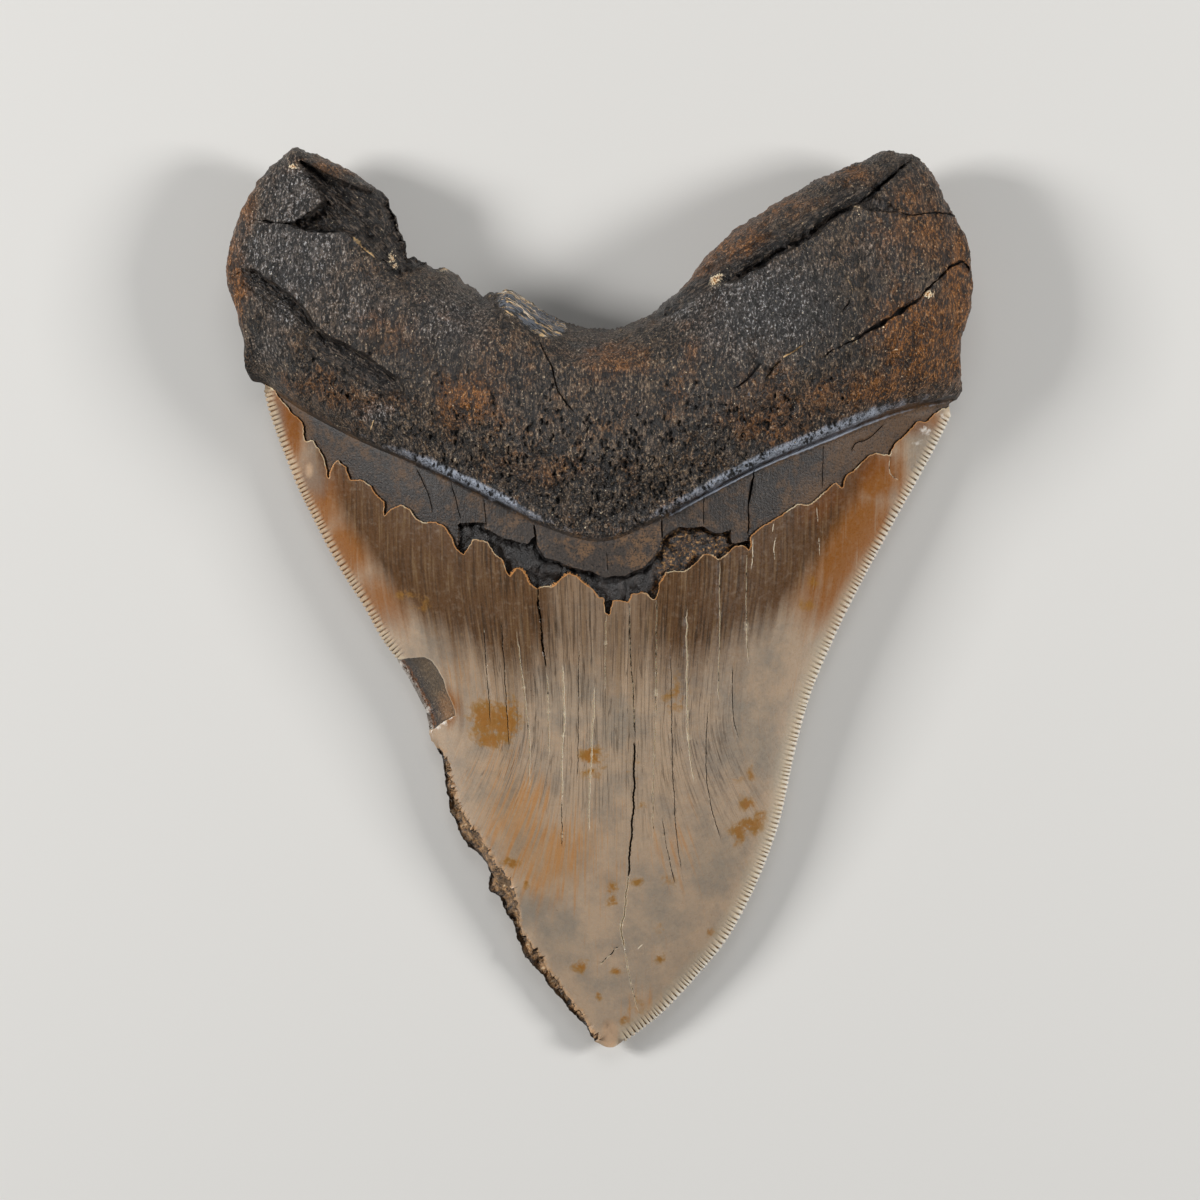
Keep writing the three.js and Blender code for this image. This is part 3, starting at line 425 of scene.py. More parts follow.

# Stains and bare spots, with painted shade, sheen and glints: centre, half width, half height and strength
STAINS = {
    "rust": [
        (52.5, 41.0, 8.0, 7.5, 1.0), (58.0, 50.0, 3.0, 12.0, 0.8), (51.5, 60.0, 8.0, 9.0, 0.5),
        (20.0, 58.0, 6.0, 4.0, 0.9), (28.0, 63.5, 8.0, 3.0, 0.6), (38.0, 69.0, 8.0, 2.5, 0.5),
        (15.5, 53.0, 4.0, 4.0, 0.8), (-59.5, 51.0, 2.4, 8.0, 0.9), (-57.5, 64.5, 2.6, 7.0, 0.6),
        (-43.0, 70.0, 7.0, 2.0, 0.5), (-46.0, 34.0, 7.0, 3.5, 0.35), (-37.0, 31.5, 9.0, 4.0, 0.3),
        (-21.0, 31.5, 5.0, 4.0, 0.7), (-33.0, 43.0, 8.0, 5.0, 0.3), (2.5, 38.0, 5.0, 4.0, 0.5),
        (14.5, 38.5, 2.0, 4.0, 0.4), (30.0, 31.0, 14.0, 7.0, 0.4), (45.0, 34.0, 9.0, 3.5, 0.6),
        (-8.0, 20.0, 12.0, 4.0, 0.3),
    ],
    # Grey patches of the root: glossier, and partly a painted sheen with painted bluish glints
    "grey_sheen": [
        (-50.0, 56.0, 9.0, 9.0, 0.9), (-49.0, 66.0, 6.0, 5.0, 0.8), (-40.0, 47.0, 9.0, 6.0, 0.5),
        (-24.0, 45.0, 9.0, 7.0, 0.5), (25.0, 47.0, 13.0, 9.0, 0.75), (45.0, 56.0, 9.0, 7.0, 0.3),
        (33.0, 33.0, 9.0, 7.0, 0.15), (-36.0, 30.0, 3.0, 1.5, 1.0), (-50.0, 46.5, 3.5, 3.0, 0.9),
        (-53.0, 41.0, 4.0, 4.0, 0.5), (-1.0, 40.0, 9.0, 4.0, 0.35), (13.0, 47.0, 5.0, 3.0, 0.8),
    ],
    "cream": [
        (-14.6, 48.4, 1.8, 1.6, 1.0), (-13.0, 47.0, 2.2, 1.9, 1.0), (-11.0, 45.6, 2.2, 1.9, 1.0),
        (-9.2, 44.4, 2.2, 1.8, 1.0), (-7.4, 43.6, 1.8, 1.4, 1.0),
    ],
    "crumbs": [
        (-49.4, 69.7, 0.6, 0.4, 1.0), (-25.2, 53.3, 0.9, 0.5, 1.0), (18.4, 50.9, 0.8, 0.9, 1.0),
        (19.3, 51.7, 0.4, 0.4, 1.0), (52.6, 49.0, 0.7, 0.5, 1.0), (45.4, 43.8, 0.4, 0.3, 1.0),
        (40.6, 41.6, 0.4, 0.3, 1.0), (-33.6, 55.0, 0.4, 0.9, 1.0), (-33.2, 53.4, 0.4, 0.4, 1.0),
        (41.0, 63.0, 0.4, 0.4, 1.0),
    ],
    "porous": [
        (2.0, 21.0, 24.0, 8.0, 1.0), (-22.0, 26.0, 16.0, 7.0, 0.5), (26.0, 29.0, 16.0, 6.0, 0.5),
        (-44.0, 34.0, 9.0, 4.0, 0.4),
    ],
    "ochre": [
        (-18.4, -19.2, 2.6, 3.2, 1.0), (-15.2, -19.6, 2.6, 3.6, 1.0), (-17.6, -22.6, 3.2, 1.6, 0.9),
        (-13.4, -17.2, 1.2, 1.4, 0.7), (-1.5, -24.9, 1.9, 1.6, 1.0), (-1.3, -27.6, 2.2, 1.6, 0.55),
        (23.8, -33.0, 1.5, 1.2, 0.9), (24.6, -36.4, 2.6, 1.5, 0.9), (22.4, -37.4, 1.8, 2.2, 0.8),
        (26.2, -34.8, 1.3, 1.0, 0.8), (-31.5, 1.0, 1.8, 1.2, 0.5), (-28.4, -1.0, 2.2, 1.2, 0.5),
        (-14.5, -42.6, 1.5, 1.0, 0.9), (-12.1, -46.0, 0.8, 0.8, 0.7), (1.9, -46.6, 1.0, 1.4, 0.8),
        (2.0, -48.6, 1.0, 0.9, 0.9), (6.1, -45.5, 1.6, 1.1, 0.6), (11.0, -45.2, 1.6, 1.0, 0.6),
        (7.0, -33.0, 1.4, 1.0, 0.5), (-3.2, -59.4, 1.3, 1.2, 0.9), (2.7, -60.0, 1.3, 0.8, 0.8),
        (9.7, -58.1, 1.0, 1.0, 0.7), (9.4, -53.2, 1.1, 1.1, 0.6), (18.1, -53.9, 0.9, 0.8, 0.9),
        (0.0, -64.2, 1.0, 1.0, 0.6), (4.2, -68.1, 1.4, 1.0, 0.8), (6.4, -66.4, 2.0, 2.4, 0.45),
        (33.4, -1.0, 1.6, 1.3, 0.7), (34.2, 3.0, 1.0, 1.2, 0.7), (12.0, -15.5, 2.6, 3.4, 0.55),
        (21.8, -29.0, 1.4, 1.0, 0.6), (24.4, -28.0, 1.0, 1.8, 0.6), (5.6, -27.0, 2.0, 2.4, 0.3),
    ],
    # Painted shade: dark patches laid over the root
    "shade": [
        (31.0, 46.0, 12.0, 8.0, 1.0), (39.0, 41.0, 6.0, 4.0, 0.6), (-28.0, 39.0, 8.0, 6.0, 0.6),
        (20.0, 36.0, 10.0, 6.0, 0.5),
    ],
    "bare": [(1.6, -70.6, 1.3, 2.2, 1.0), (-47.1, 21.0, 0.8, 1.4, 0.6)],
    # Painted glints on the enamel's right corner, and small white spots by the chip
    "white": [
        (-26.5, -20.6, 0.9, 0.4, 0.8), (-25.3, -19.9, 0.9, 0.4, 0.9), (-24.2, -19.1, 0.8, 0.4, 0.8),
        (52.7, 27.4, 1.0, 0.9, 0.9), (51.2, 25.3, 0.8, 0.5, 0.7), (52.0, 25.7, 0.5, 0.4, 0.8),
        (55.6, 29.8, 0.5, 0.7, 0.7),
    ],
    "amber": [
        (-51.5, 28.0, 4.0, 7.0, 1.0), (-46.0, 16.0, 6.0, 7.0, 0.9), (-41.5, 8.0, 6.0, 6.0, 0.9),
        (-36.0, 0.0, 7.0, 6.0, 0.75), (44.5, 20.0, 5.0, 5.0, 1.0), (43.0, 10.0, 7.0, 9.0, 1.0),
        (38.0, 0.0, 6.0, 7.0, 0.8), (37.0, 13.0, 6.0, 7.0, 0.9), (40.0, 6.0, 7.0, 9.0, 0.95),
        (34.0, 3.0, 6.0, 8.0, 0.65), (42.0, 25.5, 8.0, 2.5, 0.7), (50.0, 29.0, 5.0, 2.5, 1.0),
        (-24.8, -17.4, 2.0, 2.8, 1.0),
    ],
    "dun": [(0.0, 8.0, 18.0, 8.0, 1.0)],
    "peach": [
        (-9.0, -42.0, 7.0, 6.5, 1.0), (-13.5, -35.0, 6.0, 8.0, 0.9), (-4.0, -39.0, 6.0, 6.0, 0.6),
        (1.0, -44.0, 5.0, 5.0, 0.35), (13.0, -40.0, 4.0, 6.0, 0.4), (-22.0, -12.0, 4.0, 7.0, 0.35),
        (7.0, -66.0, 3.0, 4.0, 0.5), (-16.0, -28.0, 5.0, 6.0, 0.5),
    ],
    "dusk": [
        (-14.0, -50.0, 5.0, 5.0, 0.8), (-6.0, -54.5, 5.0, 5.0, 0.7), (-18.0, -31.0, 5.0, 6.0, 0.5),
        (25.0, -23.0, 7.0, 9.0, 0.7), (19.0, -42.0, 6.0, 8.0, 0.7), (2.0, -20.0, 5.0, 6.0, 0.6),
        (8.0, -51.0, 9.0, 6.0, 0.6), (-4.0, -15.0, 7.0, 7.0, 0.6), (26.0, -9.0, 6.0, 8.0, 0.5),
        (5.0, -62.0, 8.0, 5.0, 0.5), (-29.0, -7.0, 6.0, 5.0, 0.4), (0.0, -31.0, 5.0, 6.0, 0.5),
        (52.5, 22.0, 2.6, 6.0, 1.0), (52.0, 26.0, 3.6, 4.0, 0.9), (48.0, 13.0, 2.2, 5.0, 0.7),
        (-52.6, 26.0, 1.6, 7.0, 1.0), (-46.5, 19.5, 2.6, 3.0, 0.9),
    ],
}

# Stains, and the partly painted grey sheen, that run on to the outer face. Umber is the brown below the torn
# edge of the enamel.
SOAKED = ("rust", "grey_sheen", "amber", "peach", "dusk", "umber")

# Face zones, in the order of the tooth's material slots
ROOT, BAND, ENAMEL, BROKEN, FLAKE = range(5)


# Lines

def run_of(points):
    """Length along a line up to each of its points."""
    return np.concatenate([[0.0], np.cumsum(np.linalg.norm(np.diff(points, axis=0), axis=1))])


def even(points, step):
    """The same line with points at an even step."""
    points = np.asarray(points, float)
    run = run_of(points)
    at = np.linspace(0.0, run[-1], max(2, round(run[-1] / step)) + 1)
    return np.column_stack([np.interp(at, run, points[:, k]) for k in (0, 1)])


def curve(points, step):
    """Points at an even step along a smooth curve through the given points."""
    span_points = 16
    points = np.array(points, float)
    ends = np.vstack([points[:1], points, points[-1:]])
    t = np.linspace(0.0, 1.0, span_points, endpoint=False)[:, None]
    spans = []
    for before, start, end, after in zip(ends, ends[1:], ends[2:], ends[3:]):
        leave = (end - before) / 2
        arrive = (after - start) / 2
        cubic = (2 * start - 2 * end + leave + arrive) * t**3
        spans.append(cubic + (3 * end - 3 * start - 2 * leave - arrive) * t**2 + leave * t + start)
    return even(np.vstack([*spans, points[-1:]]), step)


def leftward(line):
    """Unit vectors to the left of a line at each of its points."""
    along = np.gradient(line, axis=0)
    along /= np.linalg.norm(along, axis=1)[:, None]
    return np.column_stack([-along[:, 1], along[:, 0]])


def beside(line, distance):
    """A line moved sideways, to its left for a positive distance."""
    return line + distance * leftward(line)


def jagged(points, step, size, random):
    """A broken line: small steps of its own, and bends twice as wide with some points between them.
    Its ends stay where they are."""
    line = even(points, step)
    bend_points = 5
    marks = np.arange(0, len(line) + bend_points, bend_points)
    bends = np.interp(np.arange(len(line)), marks, random.uniform(-2.0, 2.0, len(marks)))
    sway = size * (bends + random.uniform(-1.0, 1.0, len(line)))
    sway[[0, -1]] = 0.0
    return line + sway[:, None] * leftward(line)


def ring(stretches):
    """One closed line from stretches that share their end points."""
    return np.vstack([stretch[:-1] for stretch in stretches])


def nearest(line, points):
    """Distance from each point to a finely divided line, and the index of the nearest point of the line."""
    tree = kdtree.KDTree(len(line))
    for i, (x, y) in enumerate(line):
        tree.insert((x, y, 0.0), i)
    tree.balance()
    found = [tree.find((x, y, 0.0)) for x, y in points]
    return np.array([hit[2] for hit in found]), np.array([hit[1] for hit in found])


def inside(area, points):
    """Whether each point lies inside a closed line."""
    result = np.zeros(len(points), bool)
    x, y = points.T
    for (x0, y0), (x1, y1) in zip(area, np.roll(area, -1, axis=0)):
        crosses = (y0 > y) != (y1 > y)
        if crosses.any():
            at = x0 + (y[crosses] - y0) / (y1 - y0) * (x1 - x0)
            result[crosses] ^= x[crosses] < at
    return result


def smooth(share):
    share = np.clip(share, 0.0, 1.0)
    return share * share * (3.0 - 2.0 * share)


def soft_step(value, start, run):
    """Rises smoothly from 0 at the start to 1 at the end of the run."""
    return smooth((value - start) / run)


def quarter_round(share):
    return np.sqrt(1.0 - (1.0 - np.clip(share, 0.0, 1.0)) ** 2)


def bell(value, middle, width):
    return np.exp(-(((value - middle) / width) ** 2))


def nicked(points, length, depth, random):
    """A line bitten to its left by shell-shaped nicks, each 0.5 to 1.5 of the length and 0.4 to 1 of the
    depth."""
    line = even(points, 0.2)
    run = run_of(line)
    lengths = length * random.uniform(0.5, 1.5, round(2 * run[-1] / length))
    ends = np.concatenate([[0.0], np.cumsum(lengths)])
    nick = np.searchsorted(ends, run, side="right") - 1
    share = (run - ends[nick]) / (ends[nick + 1] - ends[nick])
    shell = np.sqrt(np.clip(1 - (2 * share - 1) ** 2, 0.0, 1.0))
    bite = depth * random.uniform(0.4, 1.0, len(ends))[nick] * shell
    return line + bite[:, None] * leftward(line)


def scar_line(scar, random):
    """The border of a scar, with the run of the wall at each of its points."""
    depth, stretches = scar
    lines = [jagged(curve(points, 0.8), LINE_STEP, size=0.06, random=random)[:-1] for _, points in stretches]
    walls = [np.full(len(line), wall) for line, (wall, _) in zip(lines, stretches)]
    return depth, np.vstack(lines), np.concatenate(walls)


random = np.random.default_rng(SEED)
serration_step = SERRATION_PITCH / SERRATION_STEPS
right_edge = curve(RIGHT_CUTTING_EDGE, serration_step)
left_edge = curve(LEFT_CUTTING_EDGE, serration_step)
rim = ring([
    curve(LEFT_ROOT_SIDE, RIM_STEP),
    curve(LEFT_LOBE_CREST, RIM_STEP),
    jagged(BROKEN_LOBE, RIM_STEP, size=0.1, random=random),
    jagged(BROKEN_CLEFT, RIM_STEP, size=0.06, random=random),
    curve(CLEFT, RIM_STEP),
    curve(RIGHT_LOBE, RIM_STEP),
    even(RIGHT_SHOULDER, RIM_STEP),
    right_edge,
    curve(TIP, RIM_STEP),
    jagged(BROKEN_EDGE, RIM_STEP, size=0.09, random=random),
    even(CHIPPED_EDGE, RIM_STEP),
    left_edge,
    even(LEFT_SHOULDER, RIM_STEP),
])
fine_rim = even(np.vstack([rim, rim[:1]]), FINE_STEP)
lip = curve(LIP, LINE_STEP)
scallops = [point for scallop in ENAMEL_SCALLOPS for point in scallop]
enamel_edge = jagged(scallops, step=0.22, size=0.07, random=random)
plate_edge = jagged(PLATE_EDGE, step=0.25, size=0.06, random=random)
root_scars = [scar_line(scar, random) for scar in (LOBE_SCAR, LENS_SCAR)]
crown_scars = [scar_line(scar, random) for scar in (FLAKE_SCAR, TIP_SCAR)]
lobe_border = root_scars[0][1]
flake_border = crown_scars[0][1]
crumbled_strip = nicked(CRUMBLED_STRIP, length=1.8, depth=0.6, random=random)
outer_enamel_edge = jagged(curve(OUTER_ENAMEL_EDGE, 2.0), step=0.5, size=0.1, random=random)

# The run along a cutting edge, stretched so that each of the uneven serrations takes up one pitch
serration_count = 2 * len(right_edge) // SERRATION_STEPS
serration_lengths = SERRATION_PITCH * random.uniform(*SERRATION_SPREAD, serration_count)
serration_ends = np.concatenate([[0.0], np.cumsum(serration_lengths)])
even_ends = SERRATION_PITCH * np.arange(len(serration_ends))
edge_runs = np.interp(np.arange(len(right_edge)) * serration_step, serration_ends, even_ends)

beyond_edge = [-1.5, -1.0]
crown_area = np.vstack([enamel_edge, BELOW_CROWN])
outer_crown_area = np.vstack([outer_enamel_edge, BELOW_CROWN])
gap_area = np.vstack([plate_edge, BELOW_PLATES])
crumbled_area = np.vstack([crumbled_strip, even(BROKEN_EDGE, 0.5) + beyond_edge])
valley_lines = [
    (depth, left_run, right_run, jagged(curve(route, 1.0), step=0.5, size=0.08, random=random))
    for depth, left_run, right_run, route in VALLEYS
]
crack_lines = [
    (half, depth, tone, jagged(curve(route, 0.6), LINE_STEP, size=0.02 + 0.2 * half, random=random))
    for half, depth, tone, route in CRACKS
]


# Heights

def root_share(y):
    return soft_step(y, *ROOT_FROM)


def lower_rim(y):
    return CROWN_EDGE_HEIGHT + (ROOT_RIM_HEIGHT - CROWN_EDGE_HEIGHT) * root_share(y)


def core(points, widening):
    """A lens-shaped section between the cutting edges, rising from the tip and thinning over the root."""
    x, y = points.T
    left_line = np.vstack([curve(LOST_EDGE, 1.0)[::-1], left_edge])
    left = np.interp(y, left_line[:, 1], left_line[:, 0]) - widening
    right = np.interp(y, right_edge[::-1, 1], right_edge[::-1, 0]) + widening
    across = np.clip((2 * x - left - right) / (right - left), -1.0, 1.0)
    up = np.clip((y - TIP_Y) / (CROWN_BASE_Y - TIP_Y), 0.0, 1.0)
    root_up = np.clip((y - CROWN_BASE_Y) / (ROOT_TOP_Y - CROWN_BASE_Y), 0.0, 1.0)
    swell = CROWN_SWELL * (1 - (1 - up) ** CROWN_RISE) * (1 - ROOT_THINNING * root_up**2)
    return CROWN_EDGE_HEIGHT + swell * (1 - across**2) ** CROWN_SECTION


def over_lip(points):
    return points[:, 1] - np.interp(points[:, 0], lip[:, 0], lip[:, 1])


def lip_strength(x):
    """How far the ridge along the lip stands out, in its shape and in its painted highlight and shadow: well
    on both sides, hardly in the middle.
    """
    strong = sum(strength * bell(x, middle, half) for middle, half, strength in LIP_STRONG_PARTS)
    return np.clip(strong + LIP_LEAST_STRENGTH, 0.0, 1.0)


def second_lip(points):
    """A fine second ridge just below the lip, right of the middle."""
    return soft_step(points[:, 0], *SECOND_LIP_FROM) * bell(over_lip(points), *SECOND_LIP)


def scar_fall(line, walls, points):
    """Share of a scar's depth at each point. The run of its wall is one value, or one for each point of its
    border."""
    fall = np.zeros(len(points))
    within = inside(line, points)
    distance, at = nearest(line, points[within])
    fall[within] = quarter_round(distance / np.broadcast_to(walls, len(line))[at])
    return fall


def valley_fall(valley, points):
    """Share of a valley's depth at each point. It fades at both ends of its route."""
    _, left_run, right_run, route = valley
    distance, at = nearest(route, points)
    on_left = ((points - route[at]) * leftward(route)[at]).sum(axis=1) > 0
    share = at / (len(route) - 1)
    ends = smooth(np.minimum(share, 1 - share) / VALLEY_FADE + 0.1)
    slope = np.clip(1 - distance / np.where(on_left, left_run, right_run), 0.0, 1.0)
    return ends * np.where(on_left, slope, slope**VALLEY_HOLLOWNESS)


def hollows(points):
    """Depth lost to the valleys and scars of the root, and the largest share of its own depth
    that any of them has at each point."""
    falls = [(depth, scar_fall(line, walls, points)) for depth, line, walls in root_scars]
    falls += [(valley[0], valley_fall(valley, points)) for valley in valley_lines]
    depth = np.max([full * fall for full, fall in falls], axis=0)
    return depth, np.max([fall for _, fall in falls], axis=0)


def inner_height(points):
    """Height of the rounded inner face, which is up."""
    x, y = points.T
    rise = over_lip(points)
    strength = lip_strength(x)
    crown = core(points, 0.0)
    step = LIP_HEIGHT * (LIP_LEAST_HEIGHT + (1 - LIP_LEAST_HEIGHT) * strength)
    root = core(points, ROOT_WIDENING) + step + ROOT_BULGE * smooth(rise / ROOT_BULGE_RUN)
    run = np.maximum(LIP_RUN, LIP_SLOPE * (root - crown))
    groove = LIP_GROOVE_DEPTH * strength * bell(rise, 0.0, LIP_GROOVE_WIDTH)
    band = crown - groove + SECOND_LIP_HEIGHT * second_lip(points)
    ridge = LIP_RIDGE_HEIGHT * strength * bell(rise, *LIP_RIDGE)
    face = np.where(rise > 0, crown + (root - crown) * quarter_round(rise / run) + ridge, band)
    enamel = inside(crown_area, points)
    face = np.where(enamel, crown + ENAMEL_THICKNESS, face)
    margin = nearest(fine_rim, points)[0]
    base = lower_rim(y) + RIM_THICKNESS
    flank = CROWN_BEVEL + (ROOT_FLANK - CROWN_BEVEL) * root_share(y)
    height = base + (np.maximum(face, base) - base) * quarter_round(margin / flank)
    height -= hollows(points)[0]
    for depth, line, walls in crown_scars:
        height -= depth * scar_fall(line, walls, points)
    gap = scar_fall(gap_area, GAP_WALL, points)
    undercut = bell(nearest(plate_edge, points)[0], *PLATE_UNDERCUT)
    height -= np.where(enamel, 0.0, gap * (GAP_DEPTH + UNDERCUT_DEPTH * undercut))
    crumb_x, crumb_y, crumb_radius, crumb_height = CRUMB
    height += crumb_height * bell(np.hypot(x - crumb_x, y - crumb_y), 0.0, crumb_radius) * gap
    height -= STRIP_DEPTH * scar_fall(crumbled_area, STRIP_WALL, points)
    return np.maximum(height, outer_height(points) + RIM_THICKNESS)


def outer_height(points):
    """Height of the flat outer face, which is down."""
    margin = nearest(fine_rim, points)[0]
    share = root_share(points[:, 1])
    run = OUTER_RUN_CROWN + (OUTER_RUN_ROOT - OUTER_RUN_CROWN) * share
    curved = OUTER_ROUND_SHARE * quarter_round(margin / run) + (1 - OUTER_ROUND_SHARE) * smooth(margin / run)
    away = np.hypot(points[:, 0], points[:, 1] - OUTER_HOLLOW_Y) / OUTER_HOLLOW_RADIUS
    flat = OUTER_HOLLOW_DEPTH * smooth(1 - away) + OUTER_ROOT_SET_BACK * outer_root_zone(points)
    return lower_rim(points[:, 1]) * (1 - curved) + flat * curved


# Mesh

def hex_grid(step):
    """A field of points over the whole tooth, each a little off its place."""
    xs = np.arange(LOW[0], HIGH[0], step)
    ys = np.arange(LOW[1], HIGH[1], step * math.sqrt(3) / 2)
    x, y = np.meshgrid(xs, ys)
    x[1::2] += step / 2
    grid = np.column_stack([x.ravel(), y.ravel()])
    return grid + random.uniform(-GRID_UNEVENNESS, GRID_UNEVENNESS, grid.shape) * step


def serration_rows(distances):
    """Rows of points that let the serrations run a little way on to the face."""
    return [beside(edge, -distance)[3:-3] for edge in (right_edge, left_edge) for distance in distances]


def rim_rows(distances):
    """Rows of points beside the rim, away from the cutting edges, which have their own rows."""
    cutting = np.vstack([right_edge, left_edge])
    rows = [(distance, beside(even(fine_rim, 2 * RIM_STEP), -distance)) for distance in distances]
    return [row[nearest(cutting, row)[0] > distance + 1.0] for distance, row in rows]


def inner_lines():
    """Lines that stay sharp on the inner face, with rows of points beside them."""
    lines = [beside(enamel_edge, side) for side in ENAMEL_EDGE_ROWS]
    lines += [beside(lip, side) for side in LIP_ROWS]
    lines += [beside(plate_edge, side) for side in PLATE_EDGE_ROWS]
    lines += [line for _, line, _ in root_scars + crown_scars]
    lines += [beside(lobe_border, side) for side in LOBE_SCAR_ROWS]
    lines += [beside(crumbled_strip, side) for side in STRIP_ROWS]
    lines += [beside(flake_border, side) for side in FLAKE_SCAR_ROWS]
    for _, left_run, right_run, route in valley_lines:
        lines += [route, beside(route, left_run / 2), beside(route, left_run), beside(route, -right_run / 4)]
    for half, _, _, route in crack_lines:
        sides = (0.0, half, -half) if half < WIDE_CRACK else (0.0, half / 2, -half / 2, half, -half)
        lines += [beside(route, side) for side in sides]
    return lines


def face_points(lines, rows, grids):
    """The rim, the lines that stay sharp, and grids that fill each zone at its own spacing."""
    kept = []
    edges = [(i, (i + 1) % len(rim)) for i in range(len(rim))]
    count = len(rim)
    for k, line in enumerate(lines + rows):
        good = inside(rim, line) & (nearest(fine_rim, line)[0] > RIM_CLEARANCE)
        if k < len(lines):
            edges += [(count + i, count + i + 1) for i in np.flatnonzero(np.diff(np.flatnonzero(good)) == 1)]
        kept.append(line[good])
        count += good.sum()
    sharp = np.vstack([rim, *kept])
    fills = []
    for step, zone in grids:
        grid = hex_grid(step)
        grid = grid[inside(rim, grid)]
        grid = grid[zone(grid)]
        fills.append(grid[nearest(sharp, grid)[0] > GRID_CLEARANCE * step])
    return np.vstack([sharp, *fills]), edges


def triangulate(points, edges):
    outline = [list(range(len(rim)))]
    found = geometry.delaunay_2d_cdt([tuple(p) for p in points], edges, outline, 1, 1e-5)
    return np.array([tuple(v) for v in found[0]]), np.array(found[2])


def stain(name, points):
    """Strength of a kind of stain at each point, strongest at the middle of each spot."""
    strength = np.zeros(len(points))
    for x, y, half_width, half_height, full in STAINS[name]:
        away = ((points[:, 0] - x) / half_width) ** 2 + ((points[:, 1] - y) / half_height) ** 2
        strength = np.maximum(strength, full * np.exp(-STAIN_FALL * away))
    return strength


def fine_zone(points):
    """The dark band and the broken parts, which take a close mesh."""
    bare = ~inside(crown_area, points)
    low = over_lip(points) < BAND_MESH_TOP
    return inside(crumbled_area, points) | bare & (low | inside(lobe_border, points))


def porous_zone(points):
    return ~inside(crown_area, points) & ~fine_zone(points) & (stain("porous", points) > POROUS_SHARE)


def root_zone(points):
    return ~inside(crown_area, points) & ~fine_zone(points) & (stain("porous", points) <= POROUS_SHARE)


def crown_zone(points):
    return inside(crown_area, points) & ~inside(crumbled_area, points)


def outer_crown_zone(points):
    return inside(outer_crown_area, points)


def outer_root_zone(points):
    return ~inside(outer_crown_area, points)


def inner_zone(points):
    """Which finish each point of the inner face has."""
    zone = np.where(over_lip(points) > ROOT_OVER_LIP, ROOT, BAND)
    zone[inside(gap_area, points)] = BROKEN
    zone[inside(crown_area, points)] = ENAMEL
    zone[inside(crumbled_area, points)] = BROKEN
    zone[inside(flake_border, points)] = FLAKE
    return zone


def tooth_mesh():
    """The tooth before its weathering: both faces and the strip between their rims, as one closed mesh."""
    inner_rows = serration_rows(INNER_SERRATION_ROWS)
    inner_grids = [
        (BAND_STEP, fine_zone), (POROUS_STEP, porous_zone), (ROOT_STEP, root_zone), (ENAMEL_STEP, crown_zone),
    ]
    inner, inner_faces = triangulate(*face_points(inner_lines(), inner_rows, inner_grids))
    outer_rows = serration_rows(OUTER_SERRATION_ROWS) + rim_rows(OUTER_RIM_ROWS)
    outer_lines = [beside(outer_enamel_edge, side) for side in OUTER_ENAMEL_ROWS]
    outer_grids = [(OUTER_STEP, outer_crown_zone), (OUTER_ROOT_STEP, outer_root_zone)]
    outer, outer_faces = triangulate(*face_points(outer_lines, outer_rows, outer_grids))
    shift = len(inner)
    here = np.arange(len(rim))
    following = (here + 1) % len(rim)
    band = np.vstack([
        np.column_stack([here, following, following + shift]),
        np.column_stack([here, following + shift, here + shift]),
    ])
    flat = np.vstack([inner, outer])
    heights = np.concatenate([inner_height(inner), outer_height(outer)])
    faces = np.vstack([inner_faces, outer_faces[:, ::-1] + shift, band])
    mesh = bpy.data.meshes.new("tooth")
    mesh.from_pydata((np.column_stack([flat, heights]) * MM).tolist(), [], faces.tolist())
    rim_zone = np.where(root_share(rim[:, 1]) > RIM_ROOT_FROM, ROOT, inner_zone(rim))
    zones = np.concatenate([
        inner_zone(inner[inner_faces].mean(axis=1)),
        np.where(outer_crown_zone(outer[outer_faces].mean(axis=1)), ENAMEL, ROOT),
        rim_zone,
        rim_zone,
    ])
    mesh.attributes.new("zone", "INT", "FACE").data.foreach_set("value", zones.astype(np.int32))
    write_attributes(mesh, flat, np.arange(len(flat)) < shift)
    return mesh


